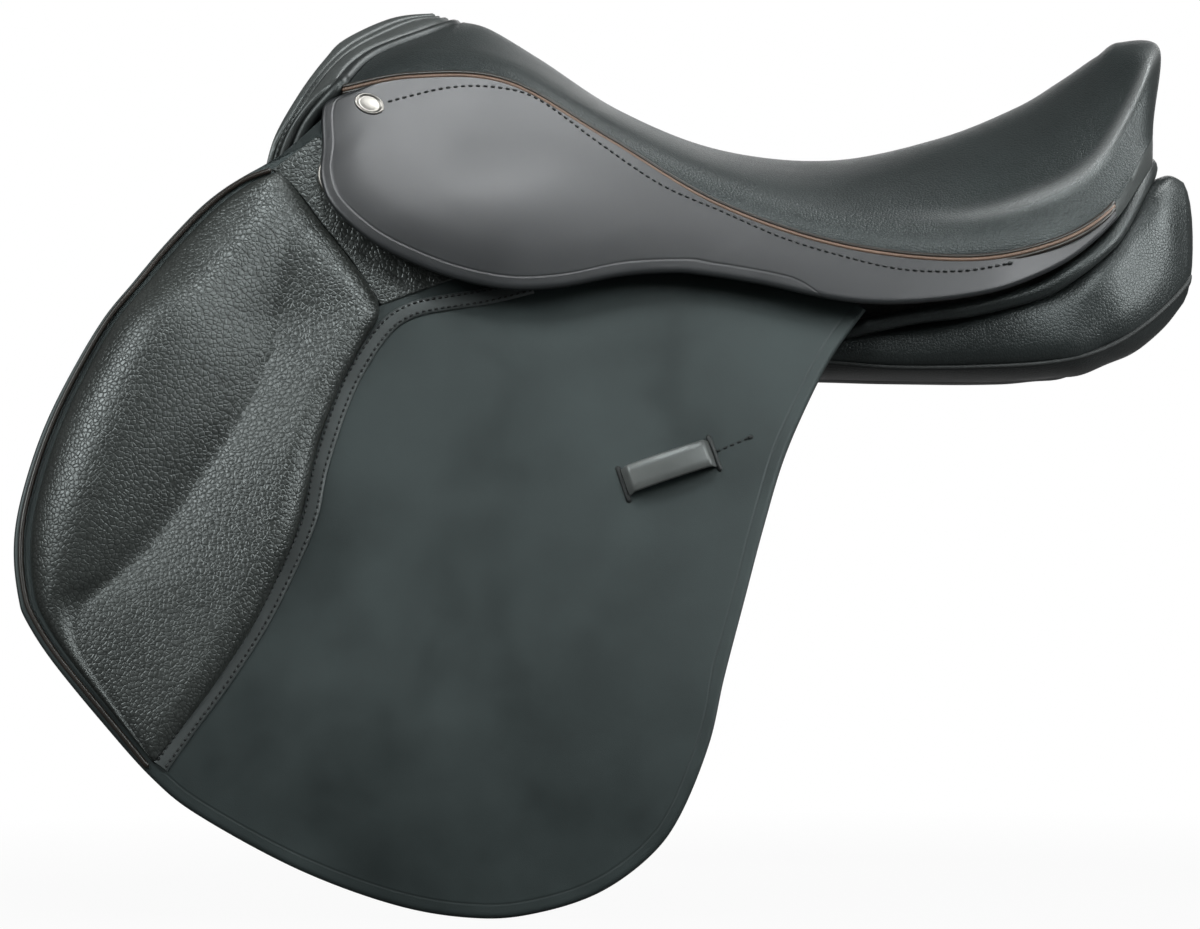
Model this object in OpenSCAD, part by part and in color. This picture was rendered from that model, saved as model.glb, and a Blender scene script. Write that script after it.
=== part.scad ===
// Jumping saddle, seen as it sits on a horse: front towards -X, left side towards -Y, +Z up.
// The origin lies on the centre plane at the height where the panels bear on the back.

/* [Saddle] */
// Length that the long outlines follow, front of the flap to back of the panel
saddle_l = 625; // [600:1:650]
// Height of the pommel above the bearing level
rise_h = 205; // [198:1:214]
// Depth of the flap below the bearing level
flap_drop = 277; // [250:1:300]

/* [Seat] */
// Thickness of the seat leather
cover_t = 2; // [1.5:0.1:2.5]
// Thickness of the seat foam
foam_t = 14; // [10:0.5:15]
// Thickness of the straining web
web_t = 1.6; // [1:0.1:2.5]
// Radius of the piping between seat and skirt
welt_r = 1.6; // [1.2:0.1:2]
// Radius of the roll round the pommel
pommel_r = 3.6; // [3:0.1:4.2]
// Radius of the roll under the cantle
cantle_r = 4.5; // [3.5:0.5:5.5]

/* [Tree] */
// Width of the wooden rail
rail_w = 27; // [20:1:30]
// Thickness of the wooden rail
rail_t = 10; // [7:0.5:11]
// Thickness of the wooden head
head_t = 12; // [9:0.5:13]
// Depth of the wooden head, front to back
head_depth = 30; // [22:1:31]
// Thickness of the steel plate under the head
plate_t = 2.5; // [2:0.1:3]

/* [Flap] */
// Half distance between the flaps at the bearing level
flap_half_w = 138; // [137:0.5:142]
// Lean of the flap from the vertical
flap_tilt = 15; // [14:0.5:15.5]
// Thickness of the flap leather
flap_t = 4; // [3:0.1:4.2]
// Height of the knee pad above the flap
pad_h = 20; // [14:0.5:24]
// Width of the stitched strip behind the knee pad
strip_w = 7.5; // [6:0.5:9]
// Thickness of that strip
strip_t = 1.6; // [1:0.1:2.2]
// Length of the keeper loop on the flap
keeper_l = 52; // [46:1:58]
// Width of the keeper loop
keeper_w = 15; // [12:0.5:18]
// Room under the keeper loop
keeper_room = 9; // [8:0.5:12]
// Thickness of the keeper leather
keeper_t = 2; // [1.5:0.1:2.5]

/* [Skirt] */
// Lean of the skirt from the vertical
skirt_tilt = 22.8; // [22.4:0.1:23]
// Thickness of the skirt leather
skirt_t = 3.5; // [2.5:0.1:4]
// Length of the plain oval badge
badge_l = 17; // [14:0.5:20]
// Height of the badge
badge_h = 11.5; // [9:0.5:13]
// Thickness of the badge
badge_t = 1.2; // [0.8:0.1:2]

/* [Stirrup bar] */
// Length of the open blade
blade_l = 88; // [80:1:92]
// Height of the blade
blade_h = 12; // [9:0.5:14]
// Thickness of the blade
blade_t = 3.4; // [3:0.1:3.8]
// Room between the blade and the flap
blade_room = 6; // [5.5:0.1:6.4]
// Width of the front arm
arm_w = 10; // [8:0.5:12]
// Length of the hinged catch
catch_l = 24; // [18:1:28]
// Radius of the catch pin
catch_pin_r = 1.5; // [1.2:0.1:1.8]

/* [Front dee] */
// Radius of the bow of the dee
dee_r = 14; // [12:0.5:15]
// Radius of the dee wire
dee_wire_r = 1.6; // [1.3:0.1:1.7]
// Length of the leather tab that carries the dee
tab_l = 26; // [22:1:30]
// Width of that tab
tab_w = 17; // [14:0.5:18]

/* [Panel] */
// Half width of the panels at the rear
panel_half_w = 136; // [132:1:138]
// Thickness of the sweat flap
sweat_t = 3; // [2:0.1:3.4]

/* [Girth straps] */
// Width of a strap
strap_w = 25; // [22:0.5:28]
// Thickness of a strap
strap_t = 4; // [3:0.1:4.4]
// Length of a strap
strap_l = 250; // [220:1:258]
// Distance from one strap to the next
strap_pitch = 45; // [42:0.5:46]
// Radius of a buckle hole
hole_r = 2.5; // [2:0.1:3]
// Distance from one hole to the next
hole_pitch = 25; // [20:0.5:26]
// Number of holes in a strap
hole_count = 7; // [5:1:7]
// Height of the buckle guard
guard_h = 52; // [44:1:60]
// Wall of the buckle guard
guard_wall = 1.8; // [1.4:0.1:2]

/* [Hidden] */
$fn = 32;

// Clearance between pieces that lie on each other
clear = 0.3;
// Overrun of every cut
over = 1;
black_leather = [0.13, 0.15, 0.15];
grain_leather = [0.17, 0.18, 0.18];
tan_piping = [0.5, 0.36, 0.26];
bright_steel = [0.75, 0.76, 0.78];
beech = [0.76, 0.6, 0.4];
canvas = [0.8, 0.77, 0.68];
foam_grey = [0.5, 0.5, 0.5];

// Seat stations from pommel to cantle: centre line x and z, rim x, share of the edge's half width and z,
// edge x and z, and share of the skirt plane's half width. x follows saddle_l and z follows rise_h.
// The row past the centre of the cantle repeats the one before it on the other side.
seat_shares = [
    [-.247, .976, -.320, .70, .868, -.346, .771, 1],
    [-.224, .956, -.275, .76, .883, -.288, .805, 1],
    [-.179, .873, -.205, .80, .844, -.208, .790, 1],
    [-.110, .737, -.120, .80, .698, -.122, .639, 1],
    [-.024, .634, -.029, .83, .556, -.029, .468, 1],
    [.074, .605, .074, .86, .459, .074, .359, 1],
    [.168, .663, .176, .88, .429, .179, .322, 1],
    [.237, .746, .243, .90, .473, .253, .361, 1],
    [.275, .815, .291, .89, .556, .304, .449, .96],
    [.298, .863, .326, .87, .707, .338, .600, .80],
    [.309, .888, .350, .86, .850, .351, .662, .53],
    [.314, .903, .364, .86, .905, .353, .680, 0],
    [.309, .888, .350, .86, .850, .351, .662, -.53]
];
seat_crown_share = 0.3;
seat_last = len(seat_shares) - 2;
// Rows of points from one station to the next
seat_rate = 2;
seat_cols = 8;

// Lower edge of the skirt, front to tail
skirt_edge_shares = [
    [-.347, .742], [-.361, .722], [-.3655, .68], [-.3645, .61], [-.3655, .53], [-.355, .455], [-.325, .368], [-.290, .307],
    [-.248, .263], [-.205, .239], [-.162, .244], [-.110, .273], [-.069, .283], [.008, .254], [.067, .215],
    [.109, .202], [.144, .206], [.186, .222], [.216, .244], [.248, .285], [.273, .330], [.296, .388]
];
skirt_tail_station = 7.9;
// The line about which the front of the skirt lifts, from its front edge to its lower edge
bend_shares = [[-.380, .545], [.014, .250]];

// Height of the fold
fold_share = .1854;
// Outline of the flap below its root: front edge downwards, bottom, back edge upwards. Below the bearing level
// its heights follow flap_drop, above it this share of rise_h.
flap_rise_share = 1.351;
flap_shares = [
    [-.413, .415], [-.466, .343], [-.526, .188], [-.574, .025], [-.610, -.166], [-.621, -.336], [-.611, -.448],
    [-.544, -.646], [-.461, -.819], [-.378, -.913], [-.294, -.978], [-.227, -1], [-.178, -.989], [-.128, -.953],
    [-.086, -.888], [-.061, -.812], [-.024, -.560], [.010, -.278], [.050, -.032], [.098, .130]
];
flap_steps = 57;
// Root of the flap, hidden under the skirt, back to front
flap_root_shares = [[-.032, .28], [-.24, .379], [-.325, .50], [-.345, .53], [-.357, .525], [-.368, .47]];

// Knee pad: front and back edges above and below the fold, and its height across and along
pad_top_front_shares = [[-.406, .404], [-.462, .329], [-.538, .137]];
pad_top_back_shares = [[-.397, .397], [-.366, .307], [-.310, .137]];
pad_front_shares = [[-.538, .137], [-.568, .025], [-.602, -.166], [-.613, -.336], [-.605, -.440],
    [-.541, -.632], [-.501, -.733]];
pad_back_shares = [[-.310, .137], [-.339, .036], [-.355, -.051], [-.371, -.166], [-.395, -.354],
    [-.450, -.578], [-.496, -.736]];
pad_across_shares = [.14, .55, .86, 1, .94, .70, .42, .34, .42, .52, .44, .14];
pad_along_shares = [1, 1, 1, .96, .88, .66, .30];
pad_top_along_shares = [.30, .80, 1];
pad_rows = 16;
pad_top_rows = 6;
pad_cols = 14;

// Outline of the sweat flap, from its front root round to its back root
sweat_shares = [[-.368, .125], [-.500, .070], [-.552, -.144], [-.563, -.343], [-.512, -.542], [-.419, -.740],
    [-.304, -.838], [-.208, -.859], [-.136, -.801], [-.093, -.650], [-.064, -.397], [-.032, -.144], [.0, .04],
    [.022, .125]];
sweat_steps = 39;

// Tree head from a point over the crown: share of the room between the flaps, and height
head_shares = [[.978, .22], [.99, .36], [.987, .55], [.921, .70], [.677, .775], [.361, .822], [0, .833]];
head_lean = 18;
head_crown_share = -.232;
head_steps = 18;
tree_start_station = 2;
web_start_station = 1.5;
web_stop_station = 9.5;

// Front line of the pommel facing and the legs of the roll behind it: x, z and share of the room between the flaps
pommel_shares = [[-.416, .53, .935], [-.408, .639, .950], [-.387, .761, .902], [-.366, .859, .732],
    [-.350, .917, .530], [-.312, .980, .239], [-.277, 1, 0]];
pommel_leg_shares = [[-.388, .54, .89], [-.371, .673, .966]];
// Lead of the roll before the seat's slanting front edge, and of the facing before the roll
pommel_lead_share = 1.38;
facing_lead_share = 1.45;
// Thickness of the layered facing in front of the roll
facing_t = 3;

// Front part of the roll under the cantle: x, z and half width
cantle_roll_shares = [[.110, .158, .93], [.144, .178, .95], [.190, .196, .96], [.245, .241, .96], [.276, .296, .94]];
// Drop of the roll below the rail where both slant
roll_drop_share = 1.62;
// Station from which the roll and the facing follow the seat's edge
cantle_station = 8;
// Thickness of the facing over the rail's end
cantle_facing_t = 3;

// Panel stations: x, then half width and height of inner top, outer top, outer bottom and inner bottom
panel_shares = [
    [-.365, .41, .49, .52, .53, .66, .22, .54, .19],
    [-.350, .36, .53, .54, .575, .72, .12, .50, .08],
    [-.328, .34, .55, .55, .585, .74, .09, .48, .04],
    [-.208, .30, .51, .64, .53, .84, .05, .40, .01],
    [-.080, .27, .38, .735, .41, .895, .025, .34, .0],
    [.048, .265, .27, .79, .27, .893, .03, .31, .005],
    [.128, .265, .27, .90, .17, .925, .025, .31, .0],
    [.221, .265, .30, .955, .235, .985, .02, .31, .0],
    [.272, .27, .36, .94, .30, .97, .03, .315, .015],
    [.307, .28, .42, .885, .38, .91, .06, .325, .04],
    [.336, .28, .50, .775, .47, .82, .12, .325, .09],
    [.362, .30, .56, .65, .54, .69, .225, .34, .195],
    [.378, .34, .49, .54, .48, .54, .325, .37, .305]
];
panel_steps = 30;
panel_sides = 20;
panel_square_share = 0.62;

// Places of the small fittings: x follows saddle_l and z follows rise_h
bar_place_shares = [-.285, .335];
bar_base_share = 0.8;
badge_place_shares = [-.325, .722];
badge_turn = 27;
dee_place_shares = [-.344, .535];
keeper_place_shares = [-.070, -.226];
keeper_turn = 19;
strap_place_share = .15;
guard_drop_share = .34;

// Thickness of the stirrup bar's base
base_t = 3.4;
// Leather over the dee's bar in the tab
tab_wall = 0.7;
// Radius of the strap pins
pin_r = 2;
// Thickness of the girth web
girth_web_t = 2;
// Gap between the stirrup bar's base and the web
web_gap = 2.6;
// Depth of the straps behind the flap
strap_depth = 4.4;
// Chamfer of the strap's point
strap_point = 9;

// The flap lifts about a fold under the skirt's lower edge
fold_u = fold_share * rise_h / cos(flap_tilt);
// The skirt passes over the top of the dee
tab_t = 2 * (dee_wire_r + tab_wall);
dee_n = flap_t + clear + tab_t / 2;
dee_place = fitting_on_flap(dee_place_shares);
dee_top = dee_place.y + dee_r + dee_wire_r;
dee_far = dee_n + dee_wire_r;
skirt_half_w = flap_half_w - dee_top * sin(flap_tilt) + dee_far * cos(flap_tilt) + 3 * clear
    + (dee_top * cos(flap_tilt) + dee_far * sin(flap_tilt)) * tan(skirt_tilt);
sweat_depth = strap_depth + strap_t + 2 * clear + guard_wall + clear;
reach = 2 * saddle_l;

// Curves and grids

function item(list, i) = list[max(0, min(len(list) - 1, i))];
// Smooth curve through every point of a list, at s counted in points
function spline(list, s) = let (
        i = max(0, min(floor(s), len(list) - 2)),
        t = s - i,
        a = item(list, i - 1),
        b = item(list, i),
        c = item(list, i + 1),
        d = item(list, i + 2)
    ) b + t / 2 * (c - a + t * (2 * a - 5 * b + 4 * c - d + t * (3 * (b - c) + d - a)));
function traced(list, steps) = [for (k = [0:steps]) spline(list, k * (len(list) - 1) / steps)];
function reversed(list) = [for (k = [len(list) - 1:-1:0]) list[k]];
function unit(v) = v / norm(v);
function mirrored(p) = [p.x, -p.y, p.z];
function mix(a, b, s) = a + (b - a) * s;

// Triangles of one grid of rows by cols points, starting at point first
function grid_faces(rows, cols, first, turned) = [
    for (i = [0:rows - 2]) for (j = [0:cols - 2]) let (
            a = first + i * cols + j,
            b = a + cols,
            c = b + 1,
            d = a + 1
        ) each turned ? [[a, b, c], [a, c, d]] : [[a, c, b], [a, d, c]]
];
// Triangles of the wall between the same edge of two grids
function wall_faces(edge, shift) = [
    for (k = [0:len(edge) - 2]) let (a = edge[k], b = edge[k + 1])
        each [[a, b + shift, b], [a, a + shift, b + shift]]
];

// Closed shell between an upper and a lower grid of points
module shell(upper, lower, end_wall = true) {
    rows = len(upper);
    cols = len(upper[0]);
    count = rows * cols;
    start_edge = [for (j = [0:cols - 1]) j];
    end_edge = [for (j = [cols - 1:-1:0]) (rows - 1) * cols + j];
    low_edge = [for (i = [rows - 1:-1:0]) i * cols];
    high_edge = [for (i = [0:rows - 1]) i * cols + cols - 1];
    polyhedron(
        points = [for (row = concat(upper, lower)) each row],
        faces = concat(
            grid_faces(rows, cols, 0, false),
            grid_faces(rows, cols, count, true),
            wall_faces(start_edge, count),
            end_wall ? wall_faces(end_edge, count) : [],
            wall_faces(low_edge, count),
            wall_faces(high_edge, count)
        )
    );
}

// Solid skinned over a list of closed rings, with both ends capped round their middle
module skinned(rings) {
    sides = len(rings[0]);
    count = len(rings) * sides;
    first_middle = [for (p = rings[0]) 1] * rings[0] / sides;
    last = rings[len(rings) - 1];
    last_middle = [for (p = last) 1] * last / sides;
    polyhedron(
        points = concat([for (ring = rings) each ring], [first_middle, last_middle]),
        faces = concat(
            [for (i = [0:len(rings) - 2]) for (j = [0:sides - 1]) let (
                    a = i * sides + j,
                    b = i * sides + (j + 1) % sides
                ) each [[a, b, b + sides], [a, b + sides, a + sides]]],
            [for (j = [0:sides - 1]) [count, (j + 1) % sides, j]],
            [for (j = [0:sides - 1]) [count + 1, count - sides + j, count - sides + (j + 1) % sides]]
        )
    );
}

// Rings of a flat profile carried along a path, its second axis held towards up
function swept(path, profile, up) = [
    for (k = [0:len(path) - 1]) let (
            along = unit(item(path, k + 1) - item(path, k - 1)),
            side = unit(cross(along, up)),
            rise = cross(side, along)
        ) [for (p = profile) path[k] + p.x * side + p.y * rise]
];
function round_profile(r, sides) = [for (k = [0:sides - 1]) r * [cos(360 * k / sides), sin(360 * k / sides)]];

// Seat

function flap_y(z) = flap_half_w - z * tan(flap_tilt);
function skirt_y(z) = skirt_half_w - z * tan(skirt_tilt);
// Edge of the seat at a station, on the left side
function seat_edge(s) = let (row = spline(seat_shares, s), z = row[6] * rise_h)
    [row[5] * saddle_l, -max(0, row[7]) * skirt_y(z), z];
// Level direction from the centre line to that edge
function seat_out(s) = let (edge = seat_edge(s)) unit([edge.x - spline(seat_shares, s)[0] * saddle_l, edge.y, 0]);
// Section of the left half at a station, from the centre line to the edge, drawn in by a depth
function seat_section(s, depth) = let (
        row = spline(seat_shares, s),
        centre = [row[0] * saddle_l, 0, row[1] * rise_h],
        edge = seat_edge(s),
        out = seat_out(s),
        rim = [row[2] * saddle_l, row[3] * edge.y, row[4] * rise_h],
        high = centre - [0, 0, depth],
        corner = rim - depth * unit(out + [0, 0, 1]),
        low = edge - depth * out,
        sunk = mix(high, corner, seat_crown_share),
        middle = [sunk.x, mix(high.y, corner.y, 1 / 2), sunk.z],
        knots = [mirrored(middle), high, middle, corner, low]
    ) [for (j = [0:seat_cols]) spline(knots, 1 + 3 * j / seat_cols)];
function seat_row(s, depth, cols) = let (half = seat_section(s, depth))
    [for (j = [-cols:cols]) j < 0 ? half[-j] : mirrored(half[j])];
function seat_grid(depth, cols, start, stop) =
    [for (s = [start:1 / seat_rate:stop]) seat_row(s, depth, cols)];

module seat_layer(outer, inner) shell(
    seat_grid(outer, seat_cols, 0, seat_last),
    seat_grid(inner, seat_cols, 0, seat_last),
    end_wall = false
);
module seat_cover() color(black_leather) seat_layer(0, cover_t);
module seat_foam() color(foam_grey) seat_layer(cover_t + clear, cover_t + clear + foam_t);
module seat_web() {
    top = cover_t + foam_t + 2 * clear;
    cols = 3;
    color(canvas) shell(
        seat_grid(top, cols, web_start_station, web_stop_station),
        seat_grid(top + web_t, cols, web_start_station, web_stop_station)
    );
}

// Point beside the seat's edge at a station: a distance outwards and a distance up
function by_edge(s, c) = seat_edge(s) + c.x * seat_out(s) + [0, 0, c.y];
// Bar of four such corners, from a station on the left round the cantle to the same station on the right
module edge_bar(start, corners) {
    left = [for (s = [start:1 / seat_rate:seat_last]) [for (c = corners) by_edge(s, c)]];
    skinned(concat(left, [for (k = [len(left) - 2:-1:0]) [for (p = left[k]) mirrored(p)]]));
}

rail_inset = cantle_facing_t + 2 * clear;
rail_fall = rail_t / 5;
module tree_frame() color(beech) edge_bar(tree_start_station, [
    [-rail_w, -rail_t - clear], [-rail_w, -rail_fall - clear], [-rail_inset, -clear], [-rail_inset, -rail_t - clear]
]);

// Tree head: a flat arch, leaning back towards its crown
function head_curve(inset) = let (
        half = [for (p = traced(head_shares, head_steps)) let (z = p.y * rise_h)
            [p.x * (flap_y(z) - base_t - 2 * clear), z / cos(head_lean)]],
        whole = concat(half, [for (k = [head_steps - 1:-1:0]) [-half[k].x, half[k].y]])
    ) [for (k = [0:len(whole) - 1]) let (t = unit(item(whole, k + 1) - item(whole, k - 1)))
        whole[k] + inset * [-t.y, t.x]];
module head_arch(outer, inner, depth) {
    crown = head_crown_share * saddle_l;
    lean_x = head_shares[len(head_shares) - 1].y * rise_h * tan(head_lean);
    translate([crown - lean_x, 0, 0]) rotate([0, head_lean, 0]) rotate([90, 0, 90])
        translate([0, 0, -depth / 2]) linear_extrude(depth)
            polygon(concat(head_curve(outer), reversed(head_curve(inner))));
}
module tree_head() color(beech) head_arch(0, head_t, head_depth);
module head_plate() color(bright_steel) head_arch(head_t + clear, head_t + clear + plate_t, head_depth);

// Piping that rests on the skirt against the seat's edge
module welt() {
    steps = 40;
    path = [for (k = [0:steps]) seat_edge(skirt_tail_station * k / steps) + [0, -welt_r - clear, 0]];
    color(tan_piping) skinned(swept(path, round_profile(welt_r, 6), [0, 0, 1]));
}

// Rolls and facings

// Left half of a curve joined to its mirror image, the last point lying on the centre plane
function joined(half) = concat(half, [for (k = [len(half) - 2:-1:0]) mirrored(half[k])]);
// Arch in front of the seat: two points of a leg, then the seat's front edge up to the crown
function pommel_arch(ahead) = joined(concat(
    [for (p = pommel_leg_shares) let (z = p.y * rise_h) [p.x * saddle_l - ahead, -p.z * flap_y(z), z]],
    [for (p = reversed(seat_section(0, cover_t))) p - [ahead, 0, 0]]
));
pommel_ahead = pommel_lead_share * (pommel_r + clear);
module pommel_roll() color(black_leather) skinned(swept(
    pommel_arch(pommel_ahead), round_profile(pommel_r, 10), [1, 0, 0]));
module pommel_facing() {
    back = pommel_arch(pommel_ahead + facing_lead_share * (pommel_r + clear));
    front = joined([for (p = traced(pommel_shares, (len(back) - 1) / 2))
        let (z = p.y * rise_h) [p.x * saddle_l, -max(0, p.z) * flap_y(z), z]]);
    color(black_leather) skinned([for (k = [0:len(front) - 1]) let (
            along = unit(item(front, k + 1) - item(front, k - 1)),
            half = facing_t / 2 * unit(cross(along, back[k] - front[k]))
        ) [front[k] - half, front[k] + half, back[k] + half, back[k] - half]]);
}
module cantle_facing() color(black_leather) edge_bar(cantle_station, [
    [-cantle_facing_t - clear, -rail_t - clear], [-cantle_facing_t - clear, -clear],
    [-clear, -clear], [-clear, -rail_t - clear]
]);
// Roll from the flap's root to the cantle, then round it under the rail and its facing
module cantle_roll() {
    low = -rail_t - 2 * clear - roll_drop_share * cantle_r;
    left = concat(
        [for (p = cantle_roll_shares) [p.x * saddle_l, -p.z * panel_half_w, p.y * rise_h]],
        [for (s = [cantle_station:1 / seat_rate:seat_last]) by_edge(s, [-cantle_r, low])]
    );
    color(black_leather) skinned(swept(joined(left), round_profile(cantle_r, 8), [0, 0, 1]));
}

// Panels

function power(v, e) = sign(v) * pow(abs(v), e);
// Rounded four-sided ring of the left panel at one station
function panel_ring(row) = let (
        x = row[0] * saddle_l,
        corner = [for (k = [0:3]) [-row[2 * k + 1] * panel_half_w, row[2 * k + 2] * rise_h]]
    ) [for (k = [0:panel_sides - 1]) let (
            angle = 360 * k / panel_sides,
            across = (1 + power(cos(angle), panel_square_share)) / 2,
            down = (1 + power(sin(angle), panel_square_share)) / 2,
            p = mix(mix(corner[0], corner[1], across), mix(corner[3], corner[2], across), down)
        ) [x, p.x, p.y]];
module panel() color(grain_leather)
    skinned([for (row = traced(panel_shares, panel_steps)) panel_ring(row)]);

// Left side: flat pieces lie in the plane of the flap or of the skirt

module in_flap() translate([0, -flap_half_w, 0]) rotate([90 - flap_tilt, 0, 0]) children();
module in_skirt() translate([0, -skirt_half_w, 0]) rotate([90 - skirt_tilt, 0, 0]) children();
module right_side() mirror([0, 1, 0]) children();
function on_flap(p) = [p.x * saddle_l, p.y * (p.y > 0 ? flap_rise_share * rise_h : flap_drop) / cos(flap_tilt)];
function fitting_on_flap(p) = [p.x * saddle_l, p.y * rise_h / cos(flap_tilt)];
function on_skirt(p) = [p.x * saddle_l, p.y * rise_h / cos(skirt_tilt)];

module flap_outline() polygon([for (p = concat(traced(flap_shares, flap_steps), flap_root_shares)) on_flap(p)]);
module below_fold() translate([-reach, fold_u - clear - reach]) square([2 * reach, reach]);
bar_place = fitting_on_flap(bar_place_shares);
module flap() color(black_leather) in_flap() linear_extrude(flap_t) intersection() {
    flap_outline();
    below_fold();
}
module flap_top() color(black_leather) in_flap() linear_extrude(flap_t) difference() {
    flap_outline();
    translate([0, clear]) below_fold();
    translate(bar_place - [clear, blade_h / 2 + clear]) square([arm_w + 2 * clear, blade_h + 2 * clear]);
}

// Padded grid between a front and a back curve, flat on the flap
module padding(front_shares, back_shares, along_shares, rows, drop) {
    front = [for (p = traced(front_shares, rows)) on_flap(p) - [0, drop]];
    back = [for (p = traced(back_shares, rows)) on_flap(p) - [0, drop]];
    along = traced(along_shares, rows);
    across = traced(pad_across_shares, pad_cols);
    base = [for (i = [0:rows]) [for (j = [0:pad_cols])
        concat(mix(front[i], back[i], j / pad_cols), [flap_t])]];
    crown = [for (i = [0:rows]) [for (j = [0:pad_cols])
        base[i][j] + [0, 0, pad_h * across[j] * along[i]]]];
    shell(crown, base);
}
module knee_pad() color(grain_leather) in_flap()
    padding(pad_front_shares, pad_back_shares, pad_along_shares, pad_rows, clear);
module knee_pad_top() color(grain_leather) in_flap()
    padding(pad_top_front_shares, pad_top_back_shares, pad_top_along_shares, pad_top_rows, 0);
module pad_strip() {
    steps = 18;
    curve = [for (p = traced(pad_back_shares, steps)) on_flap(p) - [0, clear]];
    side = [for (k = [0:steps]) let (t = unit(item(curve, k + 1) - item(curve, k - 1))) [-t.y, t.x]];
    color(black_leather) in_flap() translate([0, 0, flap_t]) linear_extrude(strip_t) intersection() {
        polygon(concat(
            [for (k = [0:steps]) curve[k] + clear * side[k]],
            [for (k = [steps:-1:0]) curve[k] + (clear + strip_w) * side[k]]
        ));
        below_fold();
    }
}

// Loop that stands on the flap: a strip with two feet and a raised middle
module keeper() {
    steps = 12;
    foot = keeper_l / 8;
    run = keeper_l - 2 * foot;
    bow = [for (k = [0:steps]) [run * (k / steps - 1 / 2), keeper_room * pow(sin(180 * k / steps), 1 / 2)]];
    inner = concat([[-keeper_l / 2, 0]], bow, [[keeper_l / 2, 0]]);
    outer = [for (k = [0:len(inner) - 1]) let (t = unit(item(inner, k + 1) - item(inner, k - 1)))
        inner[k] + keeper_t * [-t.y, t.x]];
    ends = [[-keeper_l / 2, keeper_t], [keeper_l / 2, keeper_t]];
    outer_bow = [for (k = [2:len(outer) - 3]) outer[k]];
    color(black_leather) in_flap() translate(concat(fitting_on_flap(keeper_place_shares), [flap_t]))
        rotate([0, 0, keeper_turn]) rotate([90, 0, 0]) translate([0, 0, -keeper_w / 2])
            linear_extrude(keeper_w)
                polygon(concat(inner, [ends[1]], reversed(outer_bow), [ends[0]]));
}

module skirt_outline() {
    steps = 57;
    top_steps = 30;
    drop = (2 * welt_r) * cos(skirt_tilt);
    polygon(concat(
        [for (p = traced(skirt_edge_shares, steps)) on_skirt(p)],
        [for (k = [top_steps:-1:0]) let (p = seat_edge(skirt_tail_station * k / top_steps))
            [p.x, p.z / cos(skirt_tilt) - drop]]
    ));
}
bend_line = [for (p = bend_shares) on_skirt(p)];
module below_bend(drop) polygon([for (p = concat(bend_line, [bend_line[1] - [0, reach], bend_line[0] - [0, reach]]))
    p - [0, drop]]);
module skirt() color(black_leather) in_skirt() linear_extrude(skirt_t) difference() {
    skirt_outline();
    below_bend(0);
}
module skirt_lobe() color(black_leather) in_skirt() linear_extrude(skirt_t) intersection() {
    skirt_outline();
    below_bend(clear);
}
module oval(l, h) polygon([for (k = [0:31]) [l / 2 * cos(k * 360 / 32), h / 2 * sin(k * 360 / 32)]]);
module badge() color(bright_steel) in_skirt()
    translate(concat(on_skirt(badge_place_shares), [skirt_t])) rotate([0, 0, -badge_turn]) {
        linear_extrude(badge_t / 2) oval(badge_l, badge_h);
        translate([0, 0, badge_t / 2]) linear_extrude(badge_t / 2) difference() {
            oval(badge_l, badge_h);
            oval(badge_l - 2 * badge_t, badge_h - 2 * badge_t);
        }
    }

// Stirrup bar: a base inside the flap, an arm through it and an open blade outside, with a hinged end
blade_n = flap_t + blade_room;
pivot_x = blade_l - blade_h / 2;
module stirrup_bar() color(bright_steel) in_flap() translate(bar_place) difference() {
    union() {
        translate([-3 / 2 * blade_h, -blade_h * bar_base_share, -base_t - clear])
            cube([arm_w + 7 / 4 * blade_h, 2 * blade_h * bar_base_share, base_t]);
        translate([0, -blade_h / 2, -base_t - clear]) cube([arm_w, blade_h, blade_n + base_t + clear + blade_t]);
        translate([0, -blade_h / 2, blade_n]) cube([pivot_x, blade_h, blade_t]);
        translate([pivot_x, 0, blade_n]) cylinder(h = blade_t, d = blade_h);
    }
    translate([pivot_x - blade_h / 2 - clear, -blade_h, blade_n + blade_t / 2])
        cube([2 * blade_h, 2 * blade_h, blade_t]);
    translate([pivot_x, 0, blade_n - over]) cylinder(h = blade_t + 2 * over, r = catch_pin_r);
}
module catch_pin() color(bright_steel) in_flap()
    translate(concat(bar_place + [pivot_x, 0], [blade_n])) cylinder(h = blade_t, r = catch_pin_r);
module bar_catch() color(bright_steel) in_flap()
    translate(concat(bar_place + [pivot_x, 0], [blade_n + blade_t / 2 + clear])) difference() {
        union() {
            cylinder(h = blade_t / 2 - clear, r = blade_h / 2 - clear);
            translate([0, -blade_h / 4, 0]) cube([catch_l, blade_h / 2, blade_t / 2 - clear]);
            translate([catch_l, 0, 0]) cylinder(h = blade_t / 2 - clear, d = blade_h / 2);
        }
        translate([0, 0, -over]) cylinder(h = blade_t + 2 * over, r = catch_pin_r + clear / 3);
    }

// Front dee: its bar lies in a leather tab that one nail holds to the flap's root
module dee() color(bright_steel) in_flap() translate(concat(dee_place, [dee_n])) {
    rotate([0, 0, 90]) rotate_extrude(angle = 180) translate([dee_r, 0]) circle(dee_wire_r);
    translate([0, -dee_r, 0]) rotate([-90, 0, 0]) cylinder(h = 2 * dee_r, r = dee_wire_r);
    translate([0, -dee_r, 0]) sphere(dee_wire_r);
    translate([0, dee_r, 0]) sphere(dee_wire_r);
}
module dee_tab() color(black_leather) in_flap() translate(concat(dee_place, [dee_n])) difference() {
    translate([-tab_t / 2, -tab_w / 2, -tab_t / 2]) cube([tab_l, tab_w, tab_t]);
    translate([0, -tab_w, 0]) rotate([-90, 0, 0]) cylinder(h = 2 * tab_w, r = dee_wire_r + clear / 3);
}

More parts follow.
